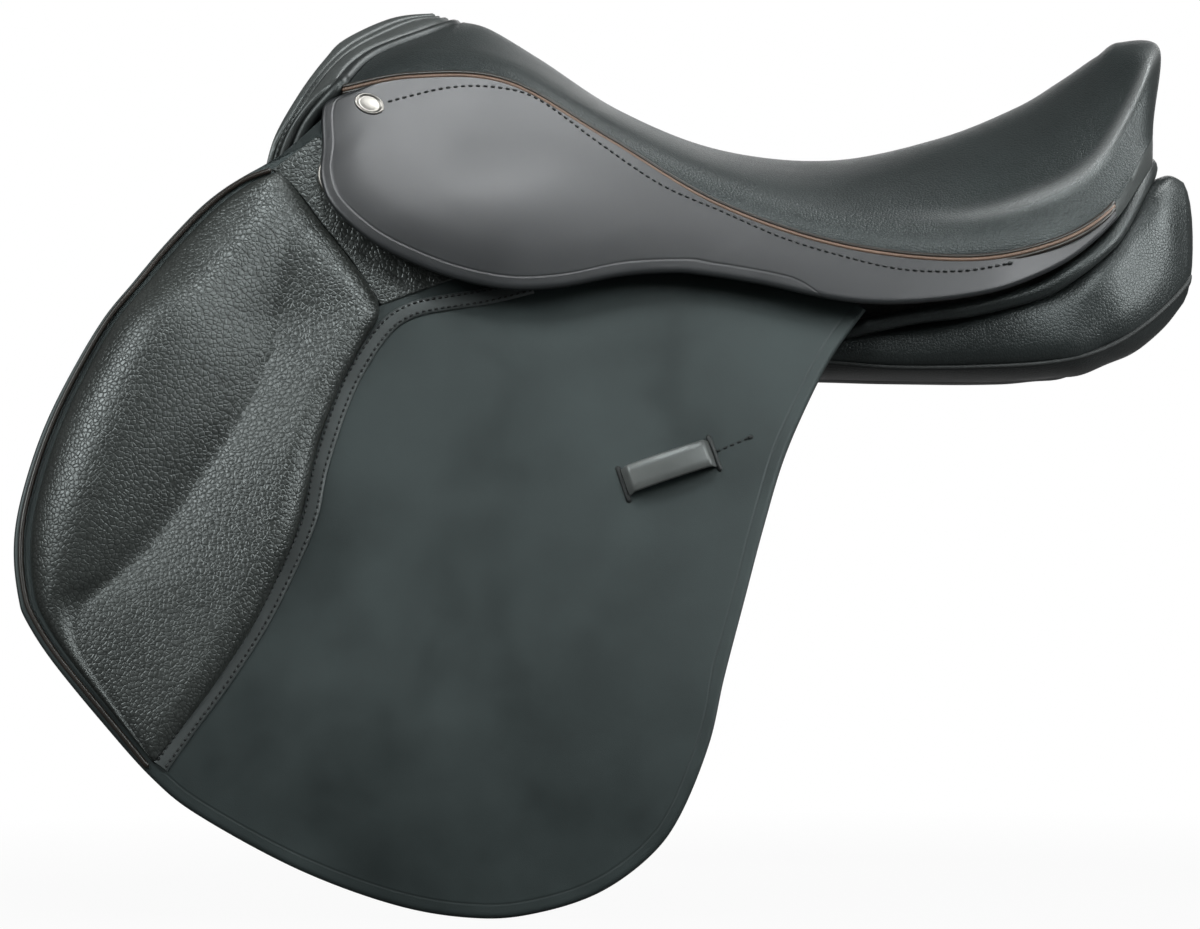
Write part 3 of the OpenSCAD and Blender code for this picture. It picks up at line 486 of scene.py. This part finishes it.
swell = skirt_swell(x, z, d)
creased = (d + 30 * smooth(20, 80, x))[..., None]
front_face = on_skirt(x, z, outer + swell)
rear_face = on_skirt(x, z, inner + swell)
line = np.array([[-194, 149], [-161, 157], [-134, 157], [-112, 150], [-80, 126], [-48, 104], [-16, 90],
                 [16, 76], [48, 66], [79, 59], [111, 58], [136, 62]])
sewn = along(line, 160)
level = skirt_swell(sewn[:, 0], sewn[:, 1], np.full(160, 30.)) + SKIRT_THICK + .1
outward = np.array([0, -math.cos(SKIRT_TILT), math.sin(SKIRT_TILT)])
bend_line = ((-237.5, 111.7), (8.75, 51.25))
a, b = (on_skirt(np.array(px), np.array(pz), SKIRT_THICK) for px, pz in bend_line)
across = np.cross(b - a, outward)
across *= np.sign(across[2]) / np.linalg.norm(across)
for side, flip in SIDES:
    skirt = rings(f"skirt {side}", both_faces(front_face, rear_face) * flip, skirt_leather, 60,
                  edge=both_faces(creased, creased)[..., 0])
    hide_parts(f"skirt_{side}", f"skirt_lobe_{side}")
    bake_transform(skirt)
    row = on_skirt(sewn[:, 0], sewn[:, 1], level) * flip
    obj = stitches(f"skirt stitches {side}", row, outward * flip, thread)
    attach(obj, "saddle")
    knot = on_skirt(sewn[-1:, 0] + [0, 1.6], sewn[-1:, 1] + [0, .4], level[-1] + .2)
    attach(tube(f"skirt stitch knot {side}", knot * flip, .9, thread, 8), "saddle")

# Flaps. A large smooth leather with a painted edge and a crease along the back and bottom; it hangs from
# the tree under the skirt.
flap_line = np.array([
    [-258, 115], [-273, 108], [-291, 95], [-311, 74], [-329, 52], [-344, 33], [-359, 7], [-372, -20],
    [-381, -46], [-387, -72], [-388, -93], [-385, -114], [-381, -125], [-367, -146], [-340, -178],
    [-313, -207], [-288, -226], [-236, -253], [-184, -271], [-142, -277], [-111, -274], [-80, -264],
    [-54, -246], [-38, -225], [-23, -189], [-15, -155], [-4, -114], [6, -77], [17, -41], [31, -9],
    [44, 15], [61, 38]])
flap_root = np.array([[-230, 130], [-223, 145.5], [-216, 147], [-203, 138.5], [-150, 105], [-20, 78],
                      [36, 53], [59, 39]])


def on_flap(x, z, n):
    """Points outside the inner face of the left flap."""
    return on_plane(x, z, n, FLAP_HALF, FLAP_TILT)


def flap_bend(z):
    """The lower flap curls in towards the horse."""
    return -8.5 * np.clip((-150 - z) / 127, 0, 1.2) ** 2


flap_leather = leather("flap leather", (.014, .020, .020), .44, .55, .02, crease=6.6, spread=.32,
                       sheen=(.86, 1, 1))
FLAP_THICK = 4
edge = along(flap_line, 300)
row = np.interp(np.linspace(0, 31, 300), [0, 3, 6, 9, 12, 14, 17, 19, 21, 23, 25, 27, 29, 30, 31],
                [0, .6, 1.5, 2.4, 3, 3.4, 3.8, 4.05, 4.2, 4.4, 4.7, 5, 5.6, 6.1, 7])
top = spline(flap_root, row)
x, z, outer, inner, d = sheet(edge, top, FLAP_THICK, 40)
front_face = on_flap(x, z, outer + flap_bend(z))
rear_face = on_flap(x, z, inner + flap_bend(z))
flap_out = np.array([0, -math.cos(FLAP_TILT), math.sin(FLAP_TILT)])
for side, flip in SIDES:
    flap = rings(f"flap {side}", both_faces(front_face, rear_face) * flip, flap_leather, 60,
                 edge=both_faces(d[..., None], d[..., None])[..., 0])
    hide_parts(f"flap_{side}", f"flap_top_{side}")
    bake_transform(flap)

# Knee pads. Pebbled leather over shaped foam on the front of the flap: a high bulge along the front, a
# valley behind it that runs down to the front corner, and a field that climbs from it to the strip.
pad_front = np.array([[-254, 111], [-269, 104], [-286, 91], [-305, 71], [-322, 50], [-337, 31], [-351, 6],
                      [-363, -20], [-372, -46], [-378, -72], [-379, -93], [-377, -110], [-373, -122],
                      [-361, -141], [-336, -172], [-313, -199]])
pad_back = np.array([[-249, 110], [-245, 106], [-238, 97], [-229, 85], [-213, 65], [-197, 40], [-205, 21],
                     [-214, 4], [-222, -14], [-229, -35], [-234, -58], [-240, -82], [-249, -103],
                     [-263, -131], [-284, -163], [-310, -197]])
valley_share = np.array([.97, .95, .9, .8, .68, .60, .645, .667, .65, .58, .48, .33, .16, .08, .07, .07])
bulge_high = np.array([3, 8, 12, 16, 19, 21, 21.5, 20.5, 19, 17, 14, 10, 6, 3, 2, 1.])
field_high = np.array([2, 3, 4, 6, 8.5, 10.5, 12.5, 14, 14.5, 15, 15, 15, 14.5, 13, 10, 5.])


def pad_surface(rows, cols):
    """Plan and height of the pad on a grid from front to back edge. Across each row: a quick rise at both
    edges, a bulge up to the valley, a field that climbs from the valley to the strip. Near the top the
    valley fades and one low dome takes its place."""
    s = np.linspace(0, 15, rows)
    w = np.linspace(0, 1, cols)[None]
    w = w - .9 / (2 * np.pi) * np.sin(2 * np.pi * w)
    a, b = spline(pad_front, s)[:, None], spline(pad_back, s)[:, None]
    plan = a + (b - a) * w[..., None]
    f, high, field = (spline(v[:, None], s) for v in (valley_share, bulge_high, field_high))
    f = np.clip(f, .04, .98)
    width = np.linalg.norm(b - a, axis=2)
    rim = np.sqrt(1 - (1 - np.clip(np.minimum(w / 9, (1 - w) / 15) * width, 0, 1)) ** 2)
    t = np.clip(w / f, 0, 1)
    bulge = high * np.sin(np.pi * t ** .72) ** .9
    climb = np.clip((w - f) / (1 - f), 0, 1) ** .8
    parted = smooth(2.2, 5.5, s)[:, None]
    dome = .62 * high * np.sin(np.pi * w) ** .8
    edge_high = 3.2
    height = edge_high * rim + dome + (bulge + (field - edge_high) * climb * rim - dome) * parted
    return plan, height


SUNK = FLAP_THICK - .6
plan, height = pad_surface(110, 66)
x, z = plan[..., 0], plan[..., 1]
crown = on_flap(x, z, FLAP_THICK + height + flap_bend(z))
base = on_flap(x, z, SUNK + flap_bend(z))
pad_leather = leather("pebbled leather", (.021, .024, .022), .37, 2.4, .25, spread=.2, shine=.75)
bead_line = along(np.array([[-256, 112.5], [-272, 106], [-289, 93], [-308.5, 72.5], [-326, 51],
                            [-341, 32], [-355.5, 6.5], [-368, -20], [-377, -46], [-383, -72], [-384, -93],
                            [-381.5, -112], [-377, -124], [-364, -144], [-338, -175], [-316, -201]]), 150)
bead = on_flap(bead_line[:, 0], bead_line[:, 1], FLAP_THICK + 1 + flap_bend(bead_line[:, 1]))
band_low = np.array([[-255, 113], [-246, 106], [-238, 97], [-229, 85], [-213, 65], [-197, 40]])
band_high = np.array([[-231, 131], [-224, 127], [-213, 111], [-200, 92], [-180, 74], [-156, 55]])
w = np.linspace(0, 1, 26)[None, :, None]
plan = along(band_low, 70)[:, None] * (1 - w) + along(band_high, 70)[:, None] * w
x, z, arch = plan[..., 0], plan[..., 1], np.sin(np.pi * w[..., 0]) ** .5
band_top = FLAP_THICK + .1 + arch * (.55 + .2 * np.sin(x / 2.4 + 1.6 * np.sin(z / 8)))
band_face = on_flap(x, z, band_top)
band_back = on_flap(x, z, SUNK)
for side, flip in SIDES:
    pad = rings(f"knee pad {side}", both_faces(crown, base) * flip, pad_leather)
    padded_leather(pad, .8, f"knee_pad_{side}", f"knee_pad_top_{side}")
    cord = tube(f"knee pad bead {side}", bead * flip, 1.5, piping_dark, 8)
    band = rings(f"knee pad band {side}", both_faces(band_face, band_back) * flip, pad_leather)
    for obj in (pad, cord, band):
        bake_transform(obj)

# Strips. A narrow smooth strip covers the pad's back edge, sewn down by a row of stitches on each side;
# it starts under the skirt and ends squared at the bottom of the pad.
strip_line = np.array([[-116, 51], [-140, 45], [-160, 42], [-179, 38], [-193, 29], [-207, 9],
                       [-217.5, -13.5], [-227.6, -45.6], [-232.6, -71], [-242.8, -96.5], [-258, -127],
                       [-277.5, -157.5], [-294.8, -181], [-309, -201]])
mid = along(strip_line, 150)
t = np.gradient(mid, axis=0)
t /= np.linalg.norm(t, axis=1, keepdims=True)
beside = np.stack([-t[:, 1], t[:, 0]], 1)
profile = np.array([[-4.4, 0], [-4.3, .9], [-3.8, 1.5], [-2.6, 1.55], [0, 1.8], [2.6, 1.55], [3.8, 1.5],
                    [4.3, .9], [4.4, 0]])
# Painted light: the strip colour is raised to lift the shadow that the pad's high edge casts on it.
strip_leather_painted_light = leather("strip leather", (.045, .052, .052), .4, .6, .02)
strip_plan = mid[:, None] + beside[:, None] * profile[None, :, :1]
x, z = strip_plan[..., 0], strip_plan[..., 1]
strip = on_flap(x, z, FLAP_THICK - .1 + profile[None, :, 1] + flap_bend(z))
for side, flip in SIDES:
    obj = rings(f"pad strip {side}", strip * flip, strip_leather_painted_light, 60)
    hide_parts(f"pad_strip_{side}")
    seams = [obj]
    for k, off in enumerate((-2.8, 2.8)):
        x, z = (mid + beside * off).T
        row = on_flap(x, z, FLAP_THICK + 1.5 + flap_bend(z)) * flip
        seams.append(stitches(f"strip stitches {k} {side}", row, flap_out * flip, thread, 3.4, 2.5, .6))
    for obj in seams:
        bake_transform(obj)

# Keepers. A short strap bowed off the flap, its ends tucked through slits and sewn behind; the loose end
# of the stirrup leather goes under it.
KEEPER = np.array([-43.75, -46.3])
# Painted light: the keeper colour is raised far above the flap's to stand for the light on its bowed top.
keeper_leather_painted_light = leather("keeper leather", (.075, .082, .080), .33, .6, .02)
turn = math.radians(19)
HALF_STRAP = 26
run = np.linspace(-HALF_STRAP, HALF_STRAP, 61)
off = np.abs(run)
bow = 7 * (1 - smooth(20.8, 25, off)) * (1 - .3 * (run / HALF_STRAP) ** 2)
bow -= 2.6 * smooth(22.5, HALF_STRAP, off)
profile = np.array([[-7.5, 0], [-7.5, 1.2], [-6.8, 2.0], [-3, 2.2], [0, 2.25], [3, 2.2], [6.8, 2.0],
                    [7.5, 1.2], [7.5, 0]])
px = run[:, None] * math.cos(turn) - profile[None, :, 0] * math.sin(turn)
pz = run[:, None] * math.sin(turn) + profile[None, :, 0] * math.cos(turn)
loop = on_flap(KEEPER[0] + px, KEEPER[1] + pz * math.cos(FLAP_TILT),
               FLAP_THICK + bow[:, None] + profile[None, :, 1])
tail = np.array([[-19.4, -37.6], [-1.4, -30]])


def slit_shadow_line(reach):
    """Line of painted shadow across the strap, at a distance from its middle, where it goes into the flap."""
    along_slit = np.linspace(-9.2, 9.2, 9)
    return on_flap(KEEPER[0] + reach * math.cos(turn) - along_slit * math.sin(turn),
                   KEEPER[1] + reach * math.sin(turn) + along_slit * math.cos(turn), FLAP_THICK)


for side, flip in SIDES:
    obj = rings(f"keeper {side}", loop * flip, keeper_leather_painted_light, 60)
    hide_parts(f"keeper_{side}")
    row = on_flap(*along(tail, 12).T, FLAP_THICK + .1) * flip
    pieces = [obj, stitches(f"keeper stitches {side}", row, flap_out * flip, thread)]
    knot = on_flap(tail[1:, 0] + [0, 1.4], tail[1:, 1] + [0, .6], FLAP_THICK + .1)
    pieces.append(tube(f"keeper knot {side}", knot * flip, 1.1, thread, 8))
    # Painted shadow: each opening where the strap passes through the flap is a thin near-black tube of the
    # thread material laid on the flap.
    for k, reach in enumerate((-25.3, 25.3)):
        slit_shadow = tube(f"keeper slit {k} {side}", slit_shadow_line(reach) * flip, 1.5, thread, 8, up=(0, 1, 0))
        pieces.append(slit_shadow)
    for obj in pieces:
        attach(obj, f"flap_{side}")

# Panels. Two long stuffed leather cushions bear on the back; their rear ends show behind the flap, with
# a piped seam near the bottom. A roll and a thin facing close the cantle above them.
PANEL_HALF = 136
panel_stations = np.array([
    [-.365, .41, .49, .52, .53, .66, .22, .54, .19], [-.350, .36, .53, .54, .575, .72, .12, .50, .08],
    [-.328, .34, .55, .55, .585, .74, .09, .48, .04], [-.208, .30, .51, .64, .53, .84, .05, .40, .01],
    [-.080, .27, .38, .735, .41, .895, .025, .34, .0], [.048, .265, .27, .79, .27, .893, .03, .31, .005],
    [.128, .265, .27, .90, .17, .925, .025, .31, .0], [.221, .265, .30, .955, .235, .985, .02, .31, .0],
    [.272, .27, .36, .94, .30, .97, .03, .315, .015], [.307, .28, .42, .885, .38, .91, .06, .325, .04],
    [.336, .28, .515, .775, .49, .82, .105, .325, .08], [.360, .30, .56, .68, .548, .72, .165, .34, .145],
    [.376, .33, .54, .60, .53, .62, .225, .36, .205]])


def panel_rings(s, angle):
    """Rounded four-cornered rings of the left panel at stations s. The corners are inner top, outer top,
    outer bottom and inner bottom; a superellipse of power 0.62 is mapped into them."""
    row = spline(panel_stations, s)
    corner = np.stack([np.stack([-row[:, 2 * k + 1] * PANEL_HALF, row[:, 2 * k + 2] * RISE], 1)
                       for k in range(4)])
    power = lambda v: np.sign(v) * np.abs(v) ** .62
    across, down = ((1 + power(f(angle)))[None, :, None] / 2 for f in (np.cos, np.sin))
    high = corner[0][:, None] + (corner[1] - corner[0])[:, None] * across
    low = corner[3][:, None] + (corner[2] - corner[3])[:, None] * across
    p = high + (low - high) * down
    return np.concatenate([np.broadcast_to((row[:, 0] * LENGTH)[:, None, None], p.shape[:2] + (1,)), p], 2)


panel_leather = leather("panel leather", (.011, .014, .014), .36, 1.6, .12, spread=.25)
s = np.linspace(0, 12, 150)
angle = np.linspace(0, 2 * np.pi, 64, endpoint=False)
cushion = panel_rings(s, angle)
last = cushion[-1:].mean(1, keepdims=True)
end_steps = ((.86, 2.0), (.68, 3.4), (.46, 4.4), (.2, 5.0))
ends = np.concatenate([last + (cushion[-1:] - last) * k + [out, 0, 0] for k, out in end_steps])
x, z = cushion[..., 0], cushion[..., 2]
wrinkle = np.sin(x / 5.5 + 2.2 * np.sin(z / 17)) * .45 + np.sin(x / 13 + z / 9) * .6
wrinkle *= (smooth(6.5, 8.5, s) * smooth(12, 10.5, s))[:, None]
centre = cushion.mean(1, keepdims=True)
ray = (cushion - centre) * [0, 1, 1]
cushion = cushion + ray / np.maximum(np.linalg.norm(ray, axis=2, keepdims=True), 1) * wrinkle[..., None]
cushion = np.concatenate([cushion, ends])
seam_s = np.linspace(1, 12, 150)
seam = panel_rings(seam_s, np.array([math.radians(38)]))[:, 0]
seam_ray = seam - panel_rings(seam_s, angle).mean(1)
seam = seam + seam_ray / np.linalg.norm(seam_ray, axis=1, keepdims=True) * .6
inner_seam = panel_rings(np.linspace(12, 9.5, 30), np.array([math.radians(142)]))[:, 0]
seam = along(np.concatenate([seam, ends[:1, 7], ends[1, 9:24] - [1, 0, 0], ends[:1, 25], inner_seam]), 240)
for side, flip in SIDES:
    panel = rings(f"panel {side}", cushion * flip, panel_leather)
    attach(panel, "saddle")
    padded_leather(panel, .7, f"panel_{side}")
    obj = tube(f"panel seam {side}", seam * flip, 1.5, thread, 8)
    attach(obj, "saddle")

roll_line = np.array([[.078, .135, .87], [.110, .158, .93], [.144, .178, .95], [.190, .196, .96],
                      [.245, .241, .96], [.276, .296, .94]])
s = np.linspace(8, 11, 40)
rear = seat_edge(s) - seat_out(s) * 4.5 + [0, 0, -17.9]
left = np.concatenate([roll_line[:, [0, 2, 1]] * [LENGTH, -PANEL_HALF, RISE], rear[::4], rear[-1:]])
cantle_roll = tube("cantle roll", whole(along(left, 90)), 4.7, panel_leather, 14)
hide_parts("cantle_roll")
s = np.linspace(7.6, 11, 60)
profile = np.array([[-3.3, -15.5], [-3.3, -.3], [-.8, -.3], [-.3, -1], [-.1, -6], [-.3, -13], [-1, -15.5]])
deep = (.62 + .38 * smooth(7.8, 9.6, s))[:, None, None]
strip = (seat_edge(s)[:, None] + seat_out(s)[:, None] * profile[None, :, :1]
         + np.array([0, 0, 1]) * profile[None, :, 1:] * deep)
grid = np.concatenate([strip, mirror(strip[-2::-1])])
cantle_facing = rings("cantle facing", grid, facing_leather_painted_light, 60)
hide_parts("cantle_facing")
for obj in (cantle_roll, cantle_facing):
    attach(obj, "saddle")

# Badge nails. A plain oval nail of bright nickel, stamped with a raised rim, is driven through the front
# corner of each skirt into the tree.


def metal(name, colour, rough):
    """Bright metal with faint handling marks in its gloss."""
    mat = bpy.data.materials.new(name)
    mat.use_nodes = True
    t = mat.node_tree
    bsdf = t.nodes["Principled BSDF"]
    where = add(t, "ShaderNodeTexCoord").outputs["Object"]
    noise = add(t, "ShaderNodeTexNoise", {"Vector": where, "Scale": 90.0, "Detail": 4.0})
    gloss = add(t, "ShaderNodeMapRange", {"Value": noise.outputs["Fac"], "To Min": rough * .7,
                                          "To Max": rough * 1.5})
    t.links.new(gloss.outputs[0], bsdf.inputs["Roughness"])
    bsdf.inputs["Base Color"].default_value = (*colour, 1)
    bsdf.inputs["Metallic"].default_value = 1
    return mat


nickel = metal("nickel", (.17, .167, .155), .3)
steel = metal("steel", (.62, .62, .62), .35)
a = np.linspace(0, 2 * np.pi, 40, endpoint=False)
lathe = np.array([[1, 0], [1.0, .7], [.97, 1.15], [.9, 1.3], [.82, 1.15], [.76, .75], [.6, .95],
                  [.3, 1.1], [.02, 1.15]])
oval = np.stack([np.cos(a) * 8.5, np.sin(a) * 5.75], 1)
turn = math.radians(-27)
oval = oval @ np.array([[math.cos(turn), math.sin(turn)], [-math.sin(turn), math.cos(turn)]])
bx = -203.1 + oval[None, :, 0] * lathe[:, None, 0]
bz = 148 + oval[None, :, 1] * lathe[:, None, 0] * math.cos(SKIRT_TILT)
badge = on_skirt(bx, bz, SKIRT_THICK + lathe[:, None, 1])
for side, flip in SIDES:
    obj = rings(f"badge nail {side}", badge * flip, nickel)
    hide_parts(f"badge_{side}")
    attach(obj, "saddle")

# Pieces carried over from the CAD. Under the leather sit the tree of beech, lacquered black, its black head
# plate, the web and the foam. Behind the flap hang sweat flap, girth web, straps and guard. The dees are
# nickel, the stirrup bars and pins steel.


def plain(name, colour, rough, scale, depth, stretch=(1, 1, 1)):
    """Wood, web or foam: colour and height follow one noise, stretched along the fibre."""
    mat = bpy.data.materials.new(name)
    mat.use_nodes = True
    t = mat.node_tree
    bsdf = t.nodes["Principled BSDF"]
    where = add(t, "ShaderNodeTexCoord").outputs["Object"]
    fibre = add(t, "ShaderNodeVectorMath", {0: where, 1: stretch}, operation="MULTIPLY")
    noise = add(t, "ShaderNodeTexNoise", {"Vector": fibre.outputs[0], "Scale": scale, "Detail": 5.0})
    tone = add(t, "ShaderNodeMapRange", {"Value": noise.outputs["Fac"], "To Min": .7, "To Max": 1.3})
    shade = add(t, "ShaderNodeVectorMath", {0: colour, "Scale": tone.outputs[0]}, operation="SCALE")
    t.links.new(shade.outputs[0], bsdf.inputs["Base Color"])
    bump = add(t, "ShaderNodeBump", {"Height": noise.outputs["Fac"], "Distance": depth / 1000})
    t.links.new(bump.outputs[0], bsdf.inputs["Normal"])
    bsdf.inputs["Roughness"].default_value = rough
    return mat


beech = plain("lacquered beech", (.030, .024, .019), .42, 60.0, .05, (.15, 1, 1))
web = plain("canvas web", (.045, .042, .038), .85, 700.0, .2)
foam = plain("foam", (.16, .16, .16), .95, 500.0, .3)
strap_leather = leather("strap leather", (.012, .014, .014), .42, .7, .03)
black_steel = metal("black steel", (.05, .05, .05), .5)
carried = {
    beech: ("tree_head", "tree_frame"),
    web: ("seat_web", "girth_web_left", "girth_web_right"),
    foam: ("seat_foam",),
    black_steel: ("head_plate",),
    steel: ("stirrup_bar_left", "stirrup_bar_right", "catch_pin_left", "catch_pin_right", "bar_catch_left",
            "bar_catch_right", "strap_pins_left", "strap_pins_right"),
    nickel: ("dee_left", "dee_right"),
    strap_leather: tuple(f"{piece}_{side}" for side, _ in SIDES for piece in (
        "strap_front", "strap_middle", "strap_rear", "buckle_guard", "dee_tab", "sweat_flap")),
}
for mat, names in carried.items():
    for name in names:
        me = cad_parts[name].data
        me.materials.clear()
        me.materials.append(mat)

# Studio. A pale floor and a white surround. Two keys from front and rear and a light above shape the
# leather, five weaker ones lift the skirt, flap, rear panel and far side. The camera stands square to
# the near side as in the photo.
floor_mat = bpy.data.materials.new("pale floor")
floor_mat.use_nodes = True
t = floor_mat.node_tree
bsdf = t.nodes["Principled BSDF"]
bsdf.inputs["Base Color"].default_value = (.09, .09, .09, 1)
bsdf.inputs["Roughness"].default_value = .8
where = add(t, "ShaderNodeTexCoord").outputs["Object"]
apart = add(t, "ShaderNodeVectorMath", {0: where}, operation="LENGTH")
clean = add(t, "ShaderNodeMapRange", {"Value": apart.outputs["Value"], "From Min": .45, "From Max": .95,
                                      "To Min": .95, "To Max": 1.0})
shown = math_node(t, "MULTIPLY", clean.outputs[0], add(t, "ShaderNodeLightPath").outputs["Is Camera Ray"])
glow = add(t, "ShaderNodeEmission", {"Color": (1, 1, 1, 1)})
white = add(t, "ShaderNodeMixShader", {0: shown, 1: bsdf.outputs[0], 2: glow.outputs[0]})
t.links.new(white.outputs[0], t.nodes["Material Output"].inputs["Surface"])
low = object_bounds()[0][2] * 1000 - .5
REACH = 9000
corners = [[-REACH, -REACH, low], [REACH, -REACH, low], [REACH, REACH, low], [-REACH, REACH, low]]
floor = make("floor", corners, [[0, 1, 2, 3]], floor_mat)
floor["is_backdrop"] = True
world = bpy.data.worlds.new("studio")
bpy.context.scene.world = world
world.use_nodes = True
t = world.node_tree
t.nodes.clear()
to_camera = add(t, "ShaderNodeLightPath").outputs["Is Camera Ray"]
seen = add(t, "ShaderNodeBackground", {"Color": (1, 1, 1, 1), "Strength": 1.0})
lit = add(t, "ShaderNodeBackground", {"Color": (1, 1, 1, 1), "Strength": .16})
mixed = add(t, "ShaderNodeMixShader", {0: to_camera, 1: lit.outputs[0], 2: seen.outputs[0]})
add(t, "ShaderNodeOutputWorld", {"Surface": mixed.outputs[0]})


def soft_light(name, place, aim, size, power):
    """Square area light at a place in metres, turned towards a point."""
    data = bpy.data.lights.new(name, "AREA")
    data.size, data.energy = size, power
    obj = bpy.data.objects.new(name, data)
    obj.location = place
    bpy.context.scene.collection.objects.link(obj)
    way = np.array(place) - np.array(aim)
    tip, spin = math.acos(way[2] / np.linalg.norm(way)), math.atan2(way[1], way[0]) + math.pi / 2
    obj.rotation_euler = (tip, 0, spin)


soft_light("rear key", (1.9, .05, 1.6), (0, 0, 0), .9, 20)
soft_light("rear low", (1.05, -.31, .28), (.2, -.1, .07), .4, 7)
soft_light("front key", (-2.2, -1.6, 1.6), (0, 0, 0), 1.2, 56)
soft_light("top", (.9, .4, 1.8), (0, 0, 0), .7, 18)
soft_light("near", (-.15, -.56, .72), (-.15, -.1, .13), .24, 3.5)
soft_light("backdrop", (.15, 3.0, .5), (0, 0, .12), 1.4, 12)
soft_light("fill", (1.7, -2.3, 1.9), (.1, 0, -.1), 1.3, 7)
soft_light("flap", (.36, -.72, .46), (.02, -.16, 0), .4, 3.8)
lens = bpy.data.cameras.new("camera")
lens.lens, lens.sensor_width, lens.clip_end = 200, 36, 100
camera = bpy.data.objects.new("camera", lens)
camera.location, camera.rotation_euler = (-.08, -3.667, -.043), (math.pi / 2, 0, 0)
bpy.context.scene.collection.objects.link(camera)
bpy.context.scene.camera = camera
bpy.context.scene.view_settings.view_transform = "Standard"

low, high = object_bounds()
